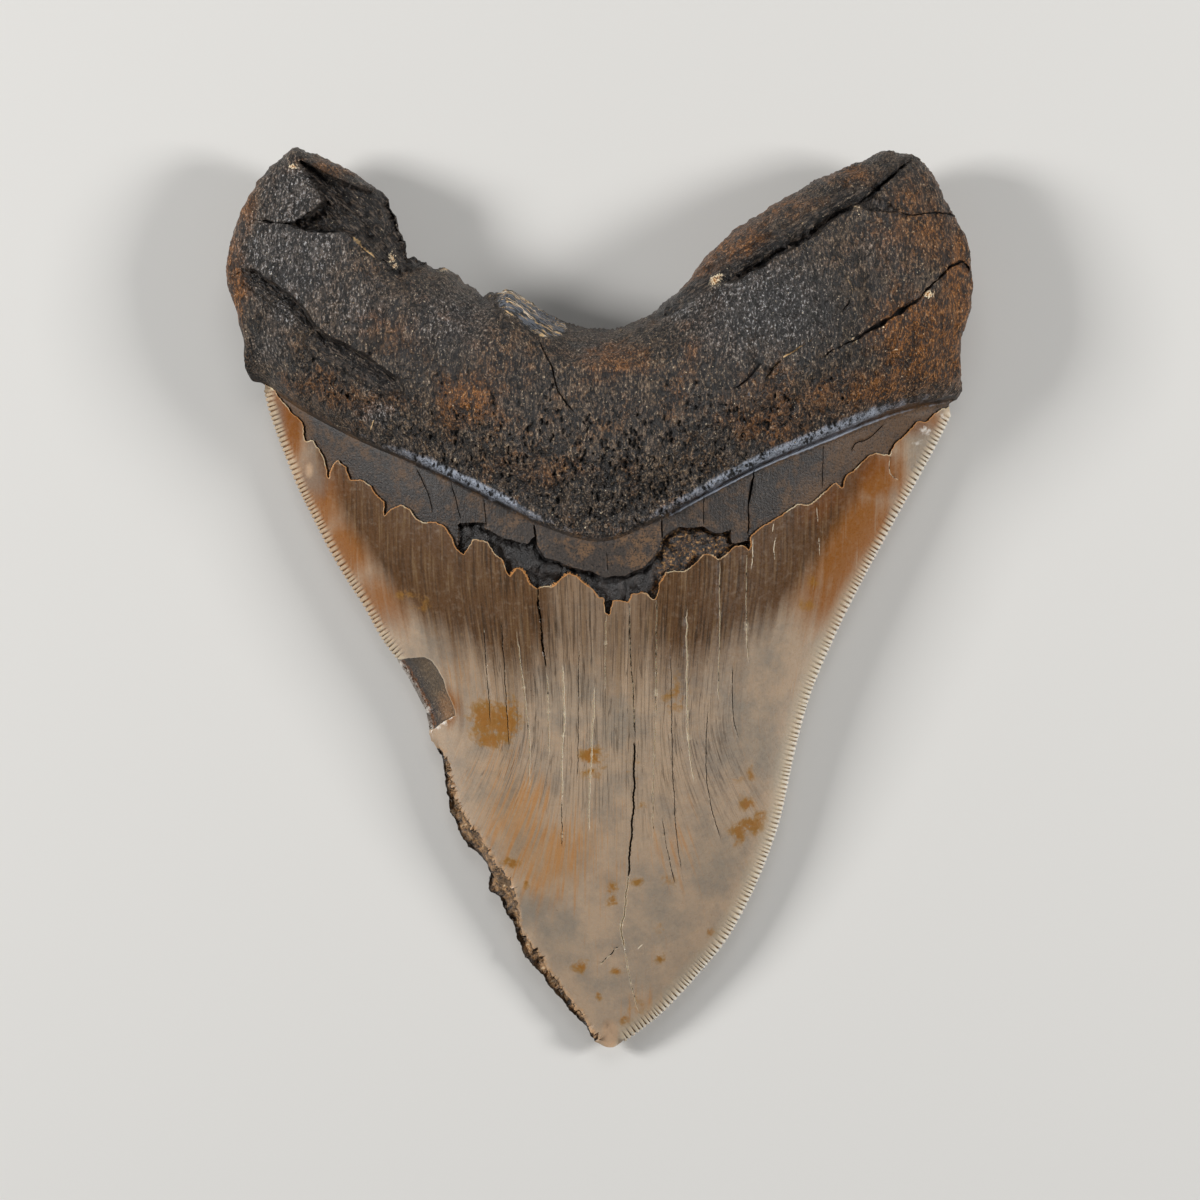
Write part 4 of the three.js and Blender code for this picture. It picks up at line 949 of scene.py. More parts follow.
def write_attributes(mesh, points, on_inner):
    """What the finishes and the weathering need to know at each point."""
    x, y = points.T
    rise = over_lip(points)
    enamel = inside(crown_area, points)
    gap = inside(gap_area, points) & ~enamel
    crumbled = inside(crumbled_area, points)
    right_gap, right_at = nearest(right_edge, points)
    left_gap, left_at = nearest(left_edge, points)
    on_right = right_gap < left_gap
    values = {name: stain(name, points) for name in STAINS}
    in_lobe = inside(lobe_border, points)
    pale_valley = (x < PALE_VALLEY_X) & ~in_lobe
    # How deep each point lies in a valley or scar: the grain splits more there, and the finish paints dark
    # fibres there, partly painted shade
    values["hollow"] = hollows(points)[1] * np.where(pale_valley, PALE_VALLEY_SHARE, 1.0)
    values["crumbly"] = gap * soft_step(x, *CRUMBLY_FROM)
    values["crumbled"] = crumbled
    # Painted highlight along the lip and its second ridge, and painted shadow just under the lip
    values["lip"] = (bell(rise, *LIP_HIGHLIGHT) + second_lip(points)) * lip_strength(x)
    values["under_lip_shadow"] = bell(rise, *UNDER_LIP_SHADOW) * lip_strength(x)
    torn_gap = nearest(enamel_edge, points)[0]
    values["torn"] = bell(torn_gap, *TORN_RIM)
    values["below_torn"] = bell(torn_gap, *BELOW_TORN)
    beside_middle = MIDDLE_BROWN + (1 - MIDDLE_BROWN) * soft_step(np.abs(x), *BROWN_FROM_MIDDLE)
    from_right = soft_step(right_gap, *BROWN_FROM_RIGHT)
    from_left = soft_step(left_gap, *BROWN_FROM_LEFT)
    brown = soft_step(rise, *BROWN_FROM) + FAINT_BROWN * soft_step(rise, *FAINT_BROWN_FROM)
    values["umber"] = brown * beside_middle * np.where(x > 0, from_right, from_left)
    values["margin"] = nearest(fine_rim, points)[0]
    values["strip_edge"] = bell(nearest(crumbled_strip, points)[0], *STRIP_EDGE)
    values["chip_edge"] = bell(nearest(flake_border, points)[0], *CHIP_EDGE)
    rough = BAND_ROUGHNESS + (1 - BAND_ROUGHNESS) * soft_step(rise, *ROUGH_FROM)
    rough = np.where(enamel, 0.0, np.where(gap, GAP_ROUGHNESS, rough))
    values["rough"] = np.where(crumbled, STRIP_ROUGHNESS, rough)
    splitting = np.where(in_lobe, LOBE_SPLITTING, np.where(x > 0, RIGHT_SPLITTING, LEFT_SPLITTING))
    broken = BROKEN_SPLITTING * (gap | crumbled)
    values["fibrous"] = values["rough"] + splitting * values["hollow"] + broken
    values = {name: value if name in SOAKED else value * on_inner for name, value in values.items()}
    steepness = smooth(outer_height(points) / OUTER_ROUGH_HEIGHT)
    outer_rough = OUTER_ROUGHNESS + (1 - OUTER_ROUGHNESS) * steepness
    outer_rough = outer_rough * (~on_inner & outer_root_zone(points))
    values["rough"] += outer_rough
    values["fibrous"] += outer_rough
    values["inner"] = on_inner
    values["streak"] = streak(points)
    within = soft_step(np.abs(values["streak"]), *LINED_WITHIN)
    values["lined"] = soft_step(y, *LINED_FROM) * within * on_inner
    values["lean"] = lean(points)
    values["lobe_lean"] = LOBE_FIBRE_TURN * in_lobe
    values["edge_gap"] = np.minimum(right_gap, left_gap)
    # Painted light along the right cutting edge
    values["pale_edge"] = bell(right_gap, *PALE_EDGE) * soft_step(y, *PALE_EDGE_BELOW)
    values["edge_run"] = edge_runs[np.where(on_right, right_at, left_at)]
    for name, value in values.items():
        attribute = mesh.attributes.new(name, "FLOAT", "POINT")
        attribute.data.foreach_set("value", np.asarray(value, np.float32))
    outward = np.where(on_right[:, None], leftward(right_edge)[right_at], leftward(left_edge)[left_at])
    inward = np.column_stack([-outward, np.where(on_inner, -1.0, 1.0)])
    mesh.attributes.new("inward", "FLOAT_VECTOR", "POINT").data.foreach_set("vector", inward.ravel())


def streak(points):
    """A measure across the crown that stays the same along each growth line, in millimetres at the base."""
    x, y = points.T
    away = x - LINE_MIDDLE_X
    narrowing = 1.0 - LINE_NARROWING * soft_step(y, *NARROW_BELOW)
    flare = 1.0 + LINE_FLARE * soft_step(y, *FLARE_BELOW) * soft_step(np.abs(away), *FLARE_BESIDE)
    return away / (narrowing * flare)


def lean(points):
    """How far the fibres of the root turn away from upright: they follow the valleys, the pale flakes of the
    cleft and the broken lobe."""
    angle = np.zeros(len(points))
    for valley in valley_lines:
        run_x, run_y = valley[3][-1] - valley[3][0]
        angle[valley_fall(valley, points) > VALLEY_FIBRES_FROM] = math.pi / 2 - math.atan2(run_y, run_x)
    angle[stain("cream", points) > CLEFT_FLAKES_FROM] = CLEFT_FLAKE_TURN
    angle[inside(lobe_border, points)] = LOBE_FIBRE_TURN
    return angle


def crack_object():
    """The crack routes, flat, with their sizes and tone at each point. They taper at both ends, and their
    width varies along the way."""
    mesh = bpy.data.meshes.new("crack_routes")
    edges = []
    start = 0
    for _, _, _, route in crack_lines:
        edges += [(k, k + 1) for k in range(start, start + len(route) - 1)]
        start += len(route)
    points = np.vstack([route for _, _, _, route in crack_lines])
    mesh.from_pydata([(x * MM, y * MM, 0.0) for x, y in points], edges, [])
    shares = [np.linspace(0, 1, len(route)) for _, _, _, route in crack_lines]
    ends = np.concatenate([np.minimum(share, 1 - share) for share in shares])
    taper = np.minimum(1.0, CRACK_END + CRACK_TAPER * ends)
    mark_points = 3
    marks = np.arange(0, len(taper) + mark_points, mark_points)
    taper *= np.interp(np.arange(len(taper)), marks, random.uniform(*CRACK_SPREAD, len(marks)))
    for column, (name, unit) in enumerate((("half_width", MM * taper), ("depth", MM), ("tone", 1.0))):
        value = np.concatenate([np.full(len(crack[3]), crack[column]) for crack in crack_lines]) * unit
        attribute = mesh.attributes.new(name, "FLOAT", "POINT")
        attribute.data.foreach_set("value", value.astype(np.float32))
    routes = bpy.data.objects.new("crack_routes", mesh)
    bpy.context.scene.collection.objects.link(routes)
    return routes


# Nodes

def add(tree, kind, sockets=None, **settings):
    """Adds a node with its settings. A socket takes a value, a socket, or a node for its first output."""
    node = tree.nodes.new(kind)
    for name, value in settings.items():
        setattr(node, name, value)
    for key, value in (sockets or {}).items():
        if isinstance(value, bpy.types.Node):
            value = value.outputs[0]
        if isinstance(value, bpy.types.NodeSocket):
            tree.links.new(value, node.inputs[key])
        else:
            node.inputs[key].default_value = value
    return node


def serrated(tree, given, mark, shape):
    """Narrow gaps along the cutting edges, which fade out on the face."""
    along = {0: mark["edge_run"], 1: given["Serration pitch"]}
    share = add(tree, "ShaderNodeMath", along, operation="DIVIDE")
    wave = add(tree, "ShaderNodeMath", {0: share, 1: 0.5}, operation="PINGPONG")
    opening = {0: wave, 1: SERRATION_GAP, 2: 0.5}
    gap = add(tree, "ShaderNodeMapRange", opening, interpolation_type="SMOOTHSTEP")
    away = {0: mark["edge_gap"], 2: given["Serration length"], 3: 1.0, 4: 0.0}
    fade = add(tree, "ShaderNodeMapRange", away)
    cut = add(tree, "ShaderNodeMath", {0: gap, 1: fade}, operation="MULTIPLY")
    ridge = add(tree, "ShaderNodeMath", {0: fade, 1: cut}, operation="SUBTRACT")
    depth = add(tree, "ShaderNodeMath", {0: cut, 1: given["Serration depth"]}, operation="MULTIPLY")
    move = add(tree, "ShaderNodeVectorMath", {0: mark["inward"], "Scale": depth}, operation="SCALE")
    shape = add(tree, "GeometryNodeSetPosition", {"Geometry": shape, "Offset": move})
    for name, value in (("serration_gap", cut), ("serration_ridge", ridge)):
        stored = {"Geometry": shape, "Name": name, "Value": value}
        shape = add(tree, "GeometryNodeStoreNamedAttribute", stored)
    return shape


def cracked(tree, given, mark, shape):
    """A trough along each crack route."""
    routes = add(tree, "GeometryNodeObjectInfo", {"Object": given["Crack routes"]}).outputs["Geometry"]
    position = add(tree, "GeometryNodeInputPosition")
    flat = add(tree, "ShaderNodeVectorMath", {0: position, 1: (1.0, 1.0, 0.0)}, operation="MULTIPLY")
    there = {"Geometry": routes, "Sample Position": flat}
    distance = add(tree, "GeometryNodeProximity", there, target_element="EDGES").outputs["Distance"]
    nearest_point = add(tree, "GeometryNodeSampleNearest", there)
    at_point = {"Geometry": routes, "Index": nearest_point}
    half, depth, tone = (
        add(tree, "GeometryNodeSampleIndex", {**at_point, "Value": mark[name]})
        for name in ("half_width", "depth", "tone")
    )
    share = add(tree, "ShaderNodeMath", {0: distance, 1: half}, operation="DIVIDE")
    trough = add(tree, "ShaderNodeMapRange", {0: share, 1: CRACK_FLOOR, 2: 1.0, 3: 1.0, 4: 0.0})
    begun = add(tree, "ShaderNodeMapRange", {0: half, 2: HAIRLINE * MM})
    crossing = add(tree, "ShaderNodeMath", {0: trough, 1: begun}, operation="MULTIPLY")
    opening = add(tree, "ShaderNodeMath", {0: crossing, 1: mark["inner"]}, operation="MULTIPLY")
    fall = add(tree, "ShaderNodeMath", {0: opening, 1: depth}, operation="MULTIPLY")
    move = add(tree, "ShaderNodeVectorMath", {0: (0.0, 0.0, -1.0), "Scale": fall}, operation="SCALE")
    shape = add(tree, "GeometryNodeSetPosition", {"Geometry": shape, "Offset": move})
    for name, value in (("fissure", opening), ("fissure_tone", tone)):
        stored = {"Geometry": shape, "Name": name, "Value": value}
        shape = add(tree, "GeometryNodeStoreNamedAttribute", stored)
    return shape


def pitted(tree, given, mark, shape):
    """Pores scattered over the lower root, each longer along the tooth than across it."""
    is_root = add(tree, "FunctionNodeCompare", {2: mark["zone"], 3: ROOT}, data_type="INT", operation="EQUAL")
    density = add(tree, "ShaderNodeMath", {0: mark["porous"], 1: given["Pore density"]}, operation="MULTIPLY")
    scatter = {"Mesh": shape, "Selection": is_root, "Density": density, "Seed": given["Seed"]}
    seeds = add(tree, "GeometryNodeDistributePointsOnFaces", scatter)
    position = add(tree, "GeometryNodeInputPosition")
    short = add(tree, "ShaderNodeVectorMath", {0: position, 1: (1.0, PORE_SHAPE, 0.0)}, operation="MULTIPLY")
    seeds = add(tree, "GeometryNodeSetPosition", {"Geometry": seeds, "Position": short})
    there = {"Geometry": seeds, "Sample Position": short}
    distance = add(tree, "GeometryNodeProximity", there, target_element="POINTS").outputs["Distance"]
    pore = add(tree, "GeometryNodeSampleNearest", there)
    spread = {2: SMALLEST_PORE, 3: 1.0, "ID": pore, "Seed": given["Seed"]}
    own = add(tree, "FunctionNodeRandomValue", spread).outputs[1]
    radius = add(tree, "ShaderNodeMath", {0: given["Pore size"], 1: own}, operation="MULTIPLY")
    share = add(tree, "ShaderNodeMath", {0: distance, 1: radius}, operation="DIVIDE")
    bowl = add(tree, "ShaderNodeMapRange", {0: share, 1: PORE_FLOOR, 2: 1.0, 3: 1.0, 4: 0.0})
    open_bowl = add(tree, "ShaderNodeMath", {0: bowl, 1: mark["inner"]}, operation="MULTIPLY")
    sized = add(tree, "ShaderNodeMath", {0: open_bowl, 1: own}, operation="MULTIPLY")
    fall = add(tree, "ShaderNodeMath", {0: sized, 1: given["Pore depth"]}, operation="MULTIPLY")
    move = add(tree, "ShaderNodeVectorMath", {0: (0.0, 0.0, -1.0), "Scale": fall}, operation="SCALE")
    shape = add(tree, "GeometryNodeSetPosition", {"Geometry": shape, "Offset": move})
    stored = {"Geometry": shape, "Name": "pore", "Value": open_bowl}
    return add(tree, "GeometryNodeStoreNamedAttribute", stored)


def roughened(tree, given, mark, shape):
    """Fibrous grain over lumps and broad swells, strongest where the tooth is broken."""
    position = add(tree, "GeometryNodeInputPosition")
    turn = {"Vector": position, "Angle": mark["lobe_lean"]}
    turned = add(tree, "ShaderNodeVectorRotate", turn, rotation_type="Z_AXIS")
    drawn = add(tree, "ShaderNodeVectorMath", {0: turned, 1: (1.0, FIBRE_SHAPE, 1.0)}, operation="MULTIPLY")
    height = 0.0
    for name, strength in (("Grain", "fibrous"), ("Lump", "rough"), ("Swell", "rough")):
        size = {"Vector": drawn, "Scale": given[f"{name} scale"], "Detail": 3.0}
        wave = add(tree, "ShaderNodeTexNoise", size)
        level = add(tree, "ShaderNodeMath", {0: wave, 1: 0.5}, operation="SUBTRACT")
        scaled = add(tree, "ShaderNodeMath", {0: level, 1: given[f"{name} height"]}, operation="MULTIPLY")
        together = {0: scaled, 1: mark[strength], 2: height}
        height = add(tree, "ShaderNodeMath", together, operation="MULTIPLY_ADD")
    normal = add(tree, "GeometryNodeInputNormal")
    move = add(tree, "ShaderNodeVectorMath", {0: normal, "Scale": height}, operation="SCALE")
    return add(tree, "GeometryNodeSetPosition", {"Geometry": shape, "Offset": move})


def weathering_tree(routes, materials):
    """Cuts the serrations, the cracks and the pores into the tooth, roughens what is bare, and sets its
    finishes. Returns the tree, and the value of each of its inputs by the socket's identifier."""
    tree = bpy.data.node_groups.new("weathered_tooth", "GeometryNodeTree")
    tree.interface.new_socket("Tooth", in_out="INPUT", socket_type="NodeSocketGeometry")
    tree.interface.new_socket("Tooth", in_out="OUTPUT", socket_type="NodeSocketGeometry")
    values = {}
    for name, value in {"Crack routes": routes, **WEATHERING}.items():
        kind = {int: "NodeSocketInt", float: "NodeSocketFloat"}.get(type(value), "NodeSocketObject")
        values[tree.interface.new_socket(name, in_out="INPUT", socket_type=kind).identifier] = value
    given = add(tree, "NodeGroupInput").outputs
    kinds = {"zone": "INT", "inward": "FLOAT_VECTOR"}
    mark = {
        name: add(tree, "GeometryNodeInputNamedAttribute", {"Name": name}, data_type=kinds.get(name, "FLOAT"))
        for name in ("edge_run", "edge_gap", "inward", "half_width", "depth", "tone", "inner", "porous",
                     "lobe_lean", "fibrous", "rough", "zone")
    }
    shape = serrated(tree, given, mark, given["Tooth"])
    shape = cracked(tree, given, mark, shape)
    shape = pitted(tree, given, mark, shape)
    shape = roughened(tree, given, mark, shape)
    shape = add(tree, "GeometryNodeRealizeInstances", {"Geometry": shape})
    for zone, material in enumerate(materials):
        same = {2: mark["zone"], 3: zone}
        here = add(tree, "FunctionNodeCompare", same, data_type="INT", operation="EQUAL")
        coat = {"Geometry": shape, "Selection": here, "Material": material}
        shape = add(tree, "GeometryNodeSetMaterial", coat)
    add(tree, "NodeGroupOutput", {"Tooth": shape})
    return tree, values


def weathered(blank, routes, materials):
    """The finished tooth as a plain mesh."""
    modifier = blank.modifiers.new("weathering", "NODES")
    modifier.node_group, values = weathering_tree(routes, materials)
    for identifier, value in values.items():
        modifier[identifier] = value
    bpy.context.view_layer.update()
    evaluated = blank.evaluated_get(bpy.context.evaluated_depsgraph_get())
    mesh = bpy.data.meshes.new_from_object(evaluated)
    blank.modifiers.remove(modifier)
    blank.data = mesh
    mesh.polygons.foreach_set("use_smooth", np.ones(len(mesh.polygons), bool))
    mesh.set_sharp_from_angle(angle=math.radians(SHARP_ANGLE))
    bpy.data.objects.remove(routes)
    return blank


# Materials

def colour(hex_value):
    """An sRGB hex value as linear RGBA."""
    parts = [int(hex_value[k:k + 2], 16) / 255 for k in (1, 3, 5)]
    return tuple(c / 12.92 if c <= 0.04045 else ((c + 0.055) / 1.055) ** 2.4 for c in parts) + (1.0,)


def new_material(name):
    material = bpy.data.materials.new(name)
    material.use_nodes = True
    material.node_tree.nodes.clear()
    return material, material.node_tree


def readings(tree, patterns, marks, turn=0.0):
    """What a finish reads: the marks stored on the mesh, and patterns that each have a width in millimetres,
    a length in widths and an amount of detail. A long pattern may turn by an angle, or by a mark that holds
    one."""
    read = {name: add(tree, "ShaderNodeAttribute", attribute_name=name).outputs["Fac"] for name in marks}
    place = add(tree, "ShaderNodeTexCoord").outputs["Object"]
    angle = read.get(turn, turn)
    turned = add(tree, "ShaderNodeVectorRotate", {"Vector": place, "Angle": angle}, rotation_type="Z_AXIS")
    for name, (width, length, detail) in patterns.items():
        source = turned if length > LONG_PATTERN else place
        stretch = {0: source, 1: (1.0, 1 / length, 1.0)}
        drawn = add(tree, "ShaderNodeVectorMath", stretch, operation="MULTIPLY")
        size = {"Vector": drawn, "Scale": 1 / (width * MM), "Detail": detail, "Roughness": 0.7}
        read[name] = add(tree, "ShaderNodeTexNoise", size).outputs[0]
    return read


def layered(tree, read, base, coats):
    """Colours laid over each other. A coat is a colour, a share, and the bounds that hold it in: a reading
    with the values where the coat starts and where it is full, then for a ragged edge a pattern and its
    spread."""
    shade = colour(base) if isinstance(base, str) else base
    for top, share, *bounds in coats:
        for name, start, full, *ragged in bounds:
            value = read[name]
            if ragged:
                pattern, spread = ragged
                stirred = {0: read[pattern], 1: spread, 2: value}
                value = add(tree, "ShaderNodeMath", stirred, operation="MULTIPLY_ADD")
                start += spread / 2
                full += spread / 2
            bound = add(tree, "ShaderNodeMapRange", {0: value, 1: start, 2: full})
            share = add(tree, "ShaderNodeMath", {0: share, 1: bound}, operation="MULTIPLY")
        top = colour(top) if isinstance(top, str) else top
        shade = add(tree, "ShaderNodeMix", {0: share, 6: shade, 7: top}, data_type="RGBA").outputs[2]
    return shade


def finish(tree, read, base, roughness, relief, **values):
    """The surface: a colour, a roughness that goes from one value to another with a reading, and a relief of
    readings weighted in millimetres."""
    name, at_low, at_high = roughness
    rough = add(tree, "ShaderNodeMapRange", {0: read[name], 1: 0.3, 2: 0.7, 3: at_low, 4: at_high})
    height = 0.0
    for name, weight in relief:
        height = add(tree, "ShaderNodeMath", {0: read[name], 1: weight, 2: height}, operation="MULTIPLY_ADD")
    bump = add(tree, "ShaderNodeBump", {"Height": height, "Distance": MM, "Strength": 1.0})
    sockets = {"Base Color": base, "Roughness": rough, "Normal": bump}
    sockets.update({name.replace("_", " "): value for name, value in values.items()})
    shader = add(tree, "ShaderNodeBsdfPrincipled", sockets)
    add(tree, "ShaderNodeOutputMaterial", {"Surface": shader})


def mineralised_root():
    """Root bone turned to phosphate: pale grains over nearly black pores, brown and grey in broad patches and
    rusty along its outer margins. The grey patches are glossier, and partly a painted sheen with painted
    bluish glints. Patches of painted shade darken it, its valleys and scars are dark, partly painted shade,
    and a painted highlight runs along the lip. The grain is drawn as coarse as it needs to be to show."""
    material, tree = new_material("mineralised_root_bone")
    read = readings(tree, {
        "grain": (0.4, 2.6, 3.0), "specks": (0.28, 1.4, 1.0), "fibres": (0.42, 6.0, 2.0),
        "flakes": (1.2, 4.5, 2.0), "mottle": (2.0, 1.4, 4.0), "cloud": (6.0, 1.0, 4.0),
        "wide": (16.0, 1.0, 3.0),
    }, ("rust", "grey_sheen", "shade", "cream", "crumbs", "hollow", "lip", "pore", "fissure", "fissure_tone",
        "lean"), turn="lean")
    shining = {0: read["grey_sheen"], 1: 0.3, 2: read["grain"]}
    read["sheen"] = add(tree, "ShaderNodeMath", shining, operation="MULTIPLY_ADD").outputs[0]
    pores = layered(tree, read, "#120e0b", [
        ("#141210", 0.9, ("grey_sheen", 0.2, 0.75, "cloud", 0.9)),
        ("#3c2511", 0.95, ("rust", 0.15, 0.6, "cloud", 0.9)),
    ])
    grains = layered(tree, read, "#5a4a3c", [
        ("#755f49", 0.8, ("wide", 0.45, 0.62)),
        ("#6e4b29", 0.85, ("cloud", 0.52, 0.64)),
        # Grey where the root has its sheen: partly its own grey, partly painted sheen
        ("#655d57", 0.85, ("grey_sheen", 0.2, 0.75, "cloud", 0.9)),
        ("#88500a", 0.95, ("rust", 0.15, 0.6, "cloud", 0.9)),
    ])
    filling = layered(tree, read, "#0b0908", [("#dcb884", 0.95, ("fissure_tone", 0.3, 0.7, "specks", 0.9))])
    crumbs = layered(tree, read, "#b9803f", [("#ead7b6", 1.0, ("specks", 0.46, 0.56))])
    flaked = layered(tree, read, "#646972", [
        ("#e3bd85", 1.0, ("flakes", 0.5, 0.56)),
        ("#efe6d8", 0.8, ("flakes", 0.6, 0.66)),
        ("#14110f", 0.95, ("fibres", 0.51, 0.45)),
    ])
    base = layered(tree, read, pores, [
        (grains, 1.0, ("grain", 0.45, 0.58)),
        ("#0f0b09", 0.85, ("mottle", 0.5, 0.38)),
        (grains, 0.4, ("mottle", 0.54, 0.66)),
        # Painted shade
        ("#100d0b", 0.65, ("shade", 0.2, 0.8, "mottle", 0.8)),
        ("#a8957c", 0.65, ("specks", 0.53, 0.63), ("grain", 0.52, 0.62)),
        # Painted bluish glints on the grains of the grey sheen
        ("#b4b9c0", 0.6, ("specks", 0.52, 0.62), ("grain", 0.5, 0.6), ("grey_sheen", 0.2, 0.6)),
        ("#b87c34", 0.5, ("specks", 0.52, 0.62), ("grain", 0.52, 0.62), ("rust", 0.2, 0.6)),
        ("#0b0908", 0.85, ("specks", 0.44, 0.35)),
        # Dark fibres in the valleys and scars, partly painted shade, with paler fibres between
        ("#120e0c", 0.9, ("hollow", 0.12, 0.35, "fibres", 0.5)),
        ("#7a6a5c", 0.55, ("hollow", 0.12, 0.35), ("fibres", 0.53, 0.62)),
        ("#060505", 0.8, ("hollow", 0.12, 0.35), ("fibres", 0.46, 0.38)),
        # Painted highlight along the lip
        ("#a4abb8", 0.9, ("lip", 0.25, 0.7, "mottle", 1.1), ("grain", 0.36, 0.5)),
        (flaked, 1.0, ("cream", 0.3, 0.4, "mottle", 1.6)),
        (crumbs, 1.0, ("crumbs", 0.45, 0.6, "specks", 2.0)),
        ("#0a0807", 0.95, ("pore", 0.1, 0.5)),
        (filling, 1.0, ("fissure", 0.25, 0.7, "grain", 0.6)),
    ])
    relief = [("grain", 0.5), ("specks", 0.18), ("fibres", 0.15), ("mottle", 0.9)]
    finish(tree, read, base, ("sheen", 0.6, 0.32), relief, IOR=1.55, Specular_IOR_Level=0.35)
    return material


def band_dentine():
    """Dense dentine of the dark band: nearly black and smooth, with brown clouds, tan at both ends and dun in
    the middle, a painted highlight along the lip and a painted shadow just under it."""
    material, tree = new_material("dense_band_dentine")
    read = readings(tree, {
        "cloud": (3.6, 1.0, 4.0), "fibres": (0.35, 7.0, 2.0), "specks": (0.35, 1.0, 3.0),
        "mottle": (1.3, 1.6, 3.0),
    }, ("amber", "dun", "lip", "under_lip_shadow", "torn", "fissure", "fissure_tone"))
    filling = layered(tree, read, "#0b0909", [("#b08a5a", 1.0, ("fissure_tone", 0.2, 0.8))])
    base = layered(tree, read, "#2b2521", [
        ("#5f462e", 0.8, ("cloud", 0.48, 0.64)),
        ("#5c4229", 0.9, ("amber", 0.1, 0.5, "cloud", 0.8)),
        ("#4d453f", 0.5, ("dun", 0.2, 0.7, "cloud", 0.8)),
        ("#75573a", 0.7, ("dun", 0.2, 0.7), ("cloud", 0.5, 0.6), ("specks", 0.4, 0.52)),
        ("#4a4441", 0.3, ("fibres", 0.52, 0.66)),
        ("#7a6049", 0.45, ("specks", 0.58, 0.7)),
        ("#120f0e", 0.75, ("specks", 0.47, 0.37)),
        # Painted highlight along the lip, then painted shadow just under it
        ("#a4abb8", 0.9, ("lip", 0.25, 0.7, "mottle", 1.1)),
        ("#0f0d0c", 0.9, ("under_lip_shadow", 0.2, 0.8)),
        ("#171413", 0.7, ("torn", 0.3, 0.9)),
        (filling, 1.0, ("fissure", 0.1, 0.5)),
    ])
    relief = [("fibres", 0.06), ("specks", 0.1)]
    finish(tree, read, base, ("cloud", 0.42, 0.55), relief, IOR=1.55, Specular_IOR_Level=0.32)
    return material


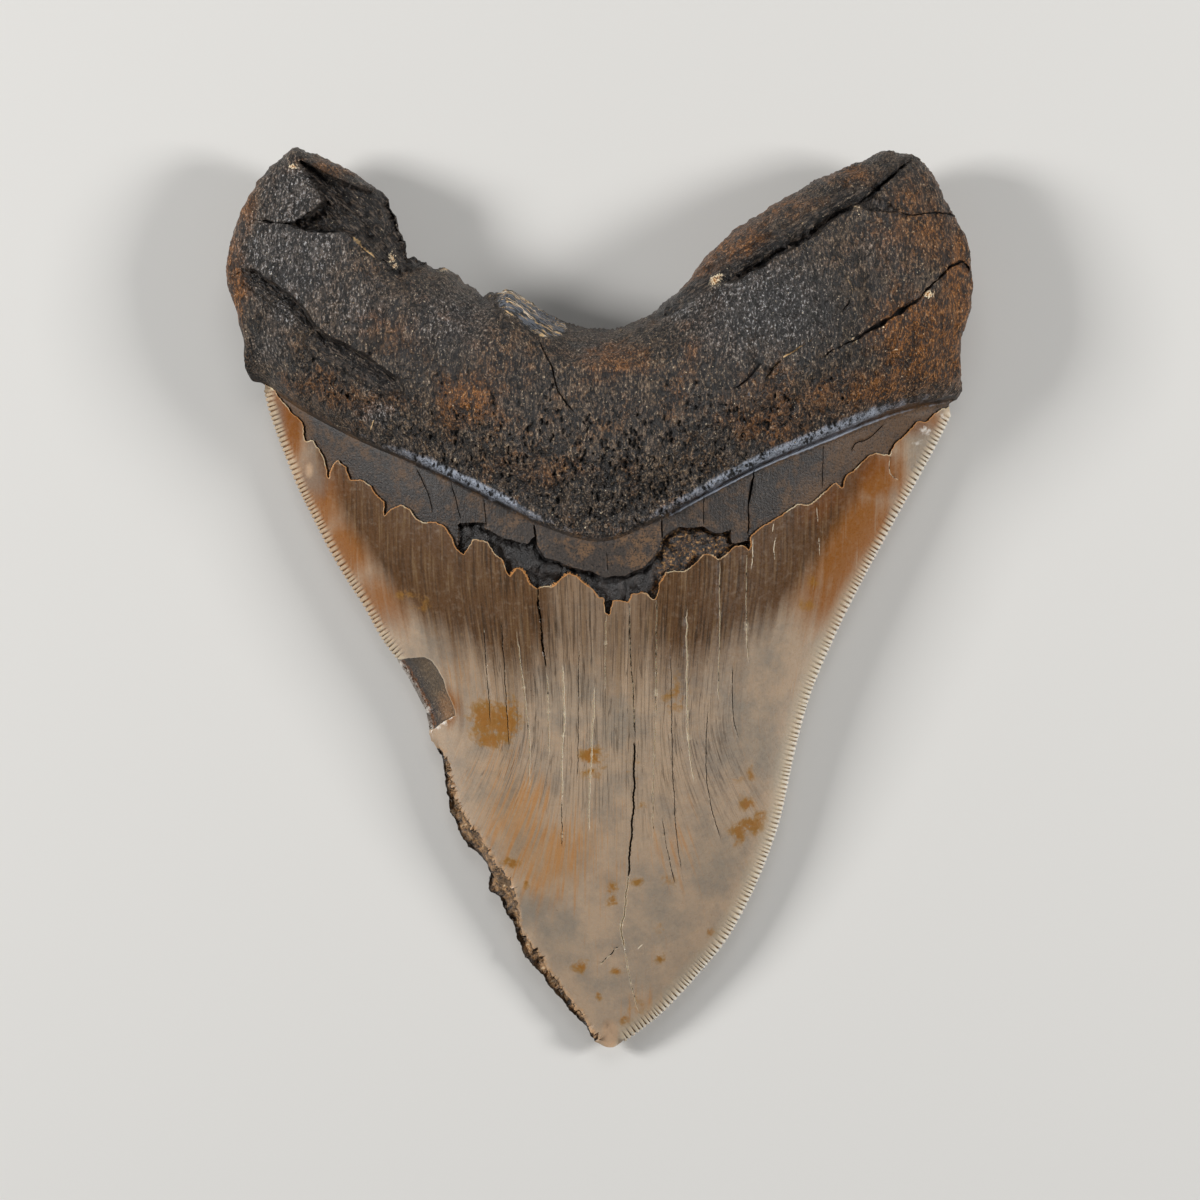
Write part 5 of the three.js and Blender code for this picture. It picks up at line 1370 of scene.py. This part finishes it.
def tooth_enamel():
    """Enamel: glassy and slightly see-through, tan to grey, with upright growth lines and iron stains, brown
    along its torn upper edge and whitish on the serrations. Painted highlights lie on the tops of the right
    serrations, a painted pale strip of light inside the right cutting edge, and painted glints on its upper
    corner."""
    material, tree = new_material("glossy_tooth_enamel")
    read = readings(tree, {
        "cloud": (6.0, 1.0, 4.0), "speck": (0.8, 1.0, 3.0), "blot": (1.6, 1.0, 4.0), "dots": (0.6, 1.5, 2.0),
    }, ("streak", "lined", "amber", "peach", "umber", "dusk", "ochre", "bare", "white", "pale_edge",
        "serration_gap", "serration_ridge", "torn", "below_torn", "strip_edge", "chip_edge", "fissure",
        "fissure_tone"))
    place = add(tree, "ShaderNodeTexCoord").outputs["Object"]
    parts = add(tree, "ShaderNodeSeparateXYZ", {0: place}).outputs
    read["side"] = parts["X"]
    across = add(tree, "ShaderNodeMath", {0: read["streak"], 1: MM}, operation="MULTIPLY")
    slow = add(tree, "ShaderNodeMath", {0: parts["Y"], 1: 1 / LINE_LENGTH}, operation="MULTIPLY")
    grown = add(tree, "ShaderNodeCombineXYZ", {"X": across, "Y": slow})
    for name, width in (("fine", 0.34), ("thread", 0.95), ("coarse", 1.5)):
        lines = {"Vector": grown, "Scale": 1 / (width * MM), "Detail": 3.0}
        read[name] = add(tree, "ShaderNodeTexNoise", lines).outputs[0]
    off_line = add(tree, "ShaderNodeMath", {0: read["thread"], 1: THREAD_LEVEL}, operation="SUBTRACT")
    read["thread"] = add(tree, "ShaderNodeMath", {0: off_line}, operation="ABSOLUTE").outputs[0]
    filling = layered(tree, read, "#1a120c", [("#ddceb4", 1.0, ("fissure_tone", 0.3, 0.6, "dots", 2.6))])
    rim = layered(tree, read, "#c48a52", [("#e2cda9", 1.0, ("cloud", 0.5, 0.6))])
    base = layered(tree, read, "#a9927a", [
        ("#8f8070", 0.85, ("cloud", 0.42, 0.66)),
        ("#a57d4c", 0.3, ("peach", 0.3, 0.9, "cloud", 0.8)),
        ("#ae7536", 0.65, ("peach", 0.25, 0.85, "fine", 2.0), ("fine", 0.38, 0.6)),
        ("#87500e", 0.95, ("amber", 0.2, 0.75, "coarse", 0.8), ("fine", 0.15, 0.42)),
        ("#55381c", 0.95, ("umber", 0.2, 0.8, "coarse", 0.9)),
        ("#743f08", 0.6, ("amber", 0.3, 0.9), ("below_torn", 0.2, 0.8, "coarse", 0.6)),
        ("#7a756b", 0.55, ("dusk", 0.25, 0.85, "cloud", 0.9)),
        ("#b7a58c", 0.14, ("speck", 0.55, 0.7)),
        ("#36281a", 0.42, ("fine", 0.48, 0.36), ("lined", 0.0, 1.0)),
        ("#20160c", 0.4, ("umber", 0.3, 0.8), ("fine", 0.47, 0.37)),
        ("#8a7150", 0.35, ("umber", 0.2, 0.7), ("fine", 0.54, 0.66)),
        ("#b39a7b", 0.25, ("coarse", 0.56, 0.75), ("lined", 0.0, 1.0)),
        ("#33271b", 0.55, ("thread", 0.014, 0.005), ("lined", 0.0, 1.0)),
        ("#90641a", 0.8, ("ochre", 0.3, 0.7, "blot", 1.7), ("speck", 0.2, 0.45)),
        ("#5f5527", 0.35, ("ochre", 0.4, 0.8), ("blot", 0.52, 0.62)),
        ("#915a18", 0.6, ("ochre", 0.5, 0.9, "speck", 1.4)),
        # Painted light: a pale strip inside the right cutting edge, where light comes through the thin enamel
        ("#b3a690", 0.5, ("pale_edge", 0.2, 0.9, "cloud", 0.6)),
        ("#cdbb9e", 0.55, ("serration_ridge", 0.15, 0.5)),
        # Painted highlights on the tops of the serrations of the right edge only
        ("#f3ecdf", 0.6, ("serration_ridge", 0.45, 0.9), ("side", 0.0, 0.01)),
        ("#6d5236", 0.5, ("serration_gap", 0.3, 0.8)),
        ("#b98d5e", 0.5, ("strip_edge", 0.3, 0.8, "speck", 1.2)),
        ("#d8c6a8", 0.25, ("chip_edge", 0.3, 0.8)),
        (rim, 0.9, ("torn", 0.35, 0.8)),
        ("#b5977a", 0.9, ("bare", 0.2, 0.5)),
        # Painted glints, and small white spots
        ("#f0ebe2", 0.8, ("white", 0.4, 0.9, "speck", 1.4)),
        ("#3d2e20", 0.6, ("speck", 0.3, 0.22)),
        (filling, 1.0, ("fissure", 0.1, 0.5)),
    ])
    finish(tree, read, base, ("speck", 0.22, 0.36), [("fine", 0.03), ("speck", 0.03)], IOR=1.62,
           Specular_IOR_Level=0.35, Subsurface_Weight=0.1, Subsurface_Radius=(0.002, 0.0013, 0.0008),
           Subsurface_Scale=1.0)
    return material


def broken_dentine():
    """Inside of the tooth where it broke: rough and dark in the band, with pale crumbs, and flaking along the
    lower edge, tan within and nearly black at the rim."""
    material, tree = new_material("broken_rough_dentine")
    read = readings(tree, {
        "crumbs": (0.5, 1.0, 4.0), "slabs": (1.4, 2.0, 4.0), "patches": (2.6, 1.0, 3.0),
        "shells": (0.8, 3.0, 2.0),
    }, ("crumbly", "crumbled", "torn", "margin", "fissure"), turn=SHELL_TURN)
    flaking = layered(tree, read, "#86684a", [
        ("#b98d5e", 0.9, ("shells", 0.5, 0.6)),
        ("#e0cba8", 0.8, ("shells", 0.62, 0.72)),
        ("#54432f", 0.7, ("patches", 0.5, 0.6)),
        ("#1f1a17", 0.9, ("margin", 0.55, 0.15, "patches", 1.2)),
        ("#14100e", 0.85, ("shells", 0.45, 0.37)),
    ])
    base = layered(tree, read, "#1b1817", [
        ("#37312e", 1.0, ("slabs", 0.45, 0.7)),
        ("#5c3f25", 0.9, ("crumbly", 0.2, 0.8, "slabs", 1.2), ("crumbs", 0.46, 0.54)),
        ("#bd9158", 0.9, ("crumbly", 0.2, 0.8, "slabs", 1.2), ("crumbs", 0.56, 0.63)),
        ("#0d0a08", 0.9, ("crumbly", 0.2, 0.8), ("crumbs", 0.5, 0.44)),
        ("#0d0a08", 0.85, ("crumbly", 0.2, 0.8), ("slabs", 0.46, 0.38)),
        (flaking, 1.0, ("crumbled", 0.4, 0.6)),
        ("#100d0c", 0.7, ("torn", 0.2, 0.9)),
        ("#0b0909", 1.0, ("fissure", 0.1, 0.6)),
    ])
    relief = [("crumbs", 0.3), ("slabs", 0.4), ("shells", 0.3)]
    finish(tree, read, base, ("crumbs", 0.34, 0.6), relief, IOR=1.55)
    return material


def flaked_enamel():
    """Shell-shaped break in the enamel: smooth and brown with fine ripples, nearly black towards the edge,
    and a crumbly pale rim."""
    material, tree = new_material("shell_flaked_enamel")
    read = readings(tree, {
        "cloud": (3.0, 1.0, 3.0), "ripples": (0.35, 8.0, 2.0), "crumbs": (0.5, 1.5, 2.0),
    }, ("margin", "amber", "chip_edge"), turn=CHIP_RIPPLE_TURN)
    base = layered(tree, read, "#4a3a26", [
        ("#5c462a", 0.9, ("cloud", 0.42, 0.66)),
        ("#7d5731", 0.85, ("amber", 0.25, 0.8, "ripples", 0.8)),
        ("#29282a", 0.85, ("margin", 3.0, 1.3, "cloud", 1.5)),
        ("#8d7b64", 0.4, ("ripples", 0.53, 0.64)),
        ("#2b231b", 0.5, ("ripples", 0.47, 0.38)),
        ("#7c4a1f", 0.8, ("margin", 1.1, 0.6, "crumbs", 2.6)),
        ("#c4beb4", 0.9, ("margin", 0.7, 0.3, "crumbs", 1.6)),
        ("#1f1812", 0.8, ("chip_edge", 0.5, 0.9)),
    ])
    finish(tree, read, base, ("cloud", 0.28, 0.4), [("ripples", 0.18), ("crumbs", 0.1)], IOR=1.6)
    return material


# Studio

def pale_floor():
    """A plain pale floor, larger than the view."""
    size = 2.0
    mesh = bpy.data.meshes.new("floor")
    corners = [(-size, -size, 0.0), (size, -size, 0.0), (size, size, 0.0), (-size, size, 0.0)]
    mesh.from_pydata(corners, [], [(0, 1, 2, 3)])
    material, tree = new_material("matt_pale_floor")
    shader = add(tree, "ShaderNodeBsdfPrincipled", {"Base Color": colour("#d2d0cc"), "Roughness": 0.8})
    add(tree, "ShaderNodeOutputMaterial", {"Surface": shader})
    mesh.materials.append(material)
    floor = bpy.data.objects.new("floor", mesh)
    bpy.context.scene.collection.objects.link(floor)


def soft_light(name, place, size, power):
    """A large square lamp that faces the tooth."""
    lamp = bpy.data.lights.new(name, "AREA")
    lamp.size = size
    lamp.energy = power
    light = bpy.data.objects.new(name, lamp)
    light.location = place
    light.rotation_euler = (-light.location).to_track_quat("-Z", "Y").to_euler()
    bpy.context.scene.collection.objects.link(light)


def camera_above():
    """Looks straight down on the tooth, with its root at the top of the picture."""
    distance = 1.15
    view_width = 0.1935
    tooth_middle = 0.012
    data = bpy.data.cameras.new("camera")
    data.sensor_width = 36.0
    data.lens = data.sensor_width * distance / view_width
    camera = bpy.data.objects.new("camera", data)
    camera.location = (0.0, 0.0, distance + tooth_middle)
    bpy.context.scene.collection.objects.link(camera)
    bpy.context.scene.camera = camera


def studio():
    """Soft light from both sides, and a little from beyond the root."""
    world = bpy.data.worlds.new("studio")
    world.use_nodes = True
    sky = world.node_tree.nodes["Background"].inputs
    sky["Color"].default_value = (0.92, 0.96, 1.0, 1.0)
    sky["Strength"].default_value = 0.12
    bpy.context.scene.world = world
    soft_light("left_softbox", place=(-0.8, 0.15, 0.52), size=0.25, power=8.3)
    soft_light("right_softbox", place=(0.8, 0.1, 0.52), size=0.25, power=6.7)
    soft_light("top_fill", place=(0.0, 0.75, 1.0), size=0.6, power=2.4)
    bpy.context.scene.view_settings.view_transform = "Standard"


materials = [mineralised_root(), band_dentine(), tooth_enamel(), broken_dentine(), flaked_enamel()]
blank = bpy.data.objects.new("fossil_tooth", tooth_mesh())
bpy.context.scene.collection.objects.link(blank)
tooth = weathered(blank, crack_object(), materials)
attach(tooth, "root")
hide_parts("tooth")

pale_floor()
studio()
camera_above()
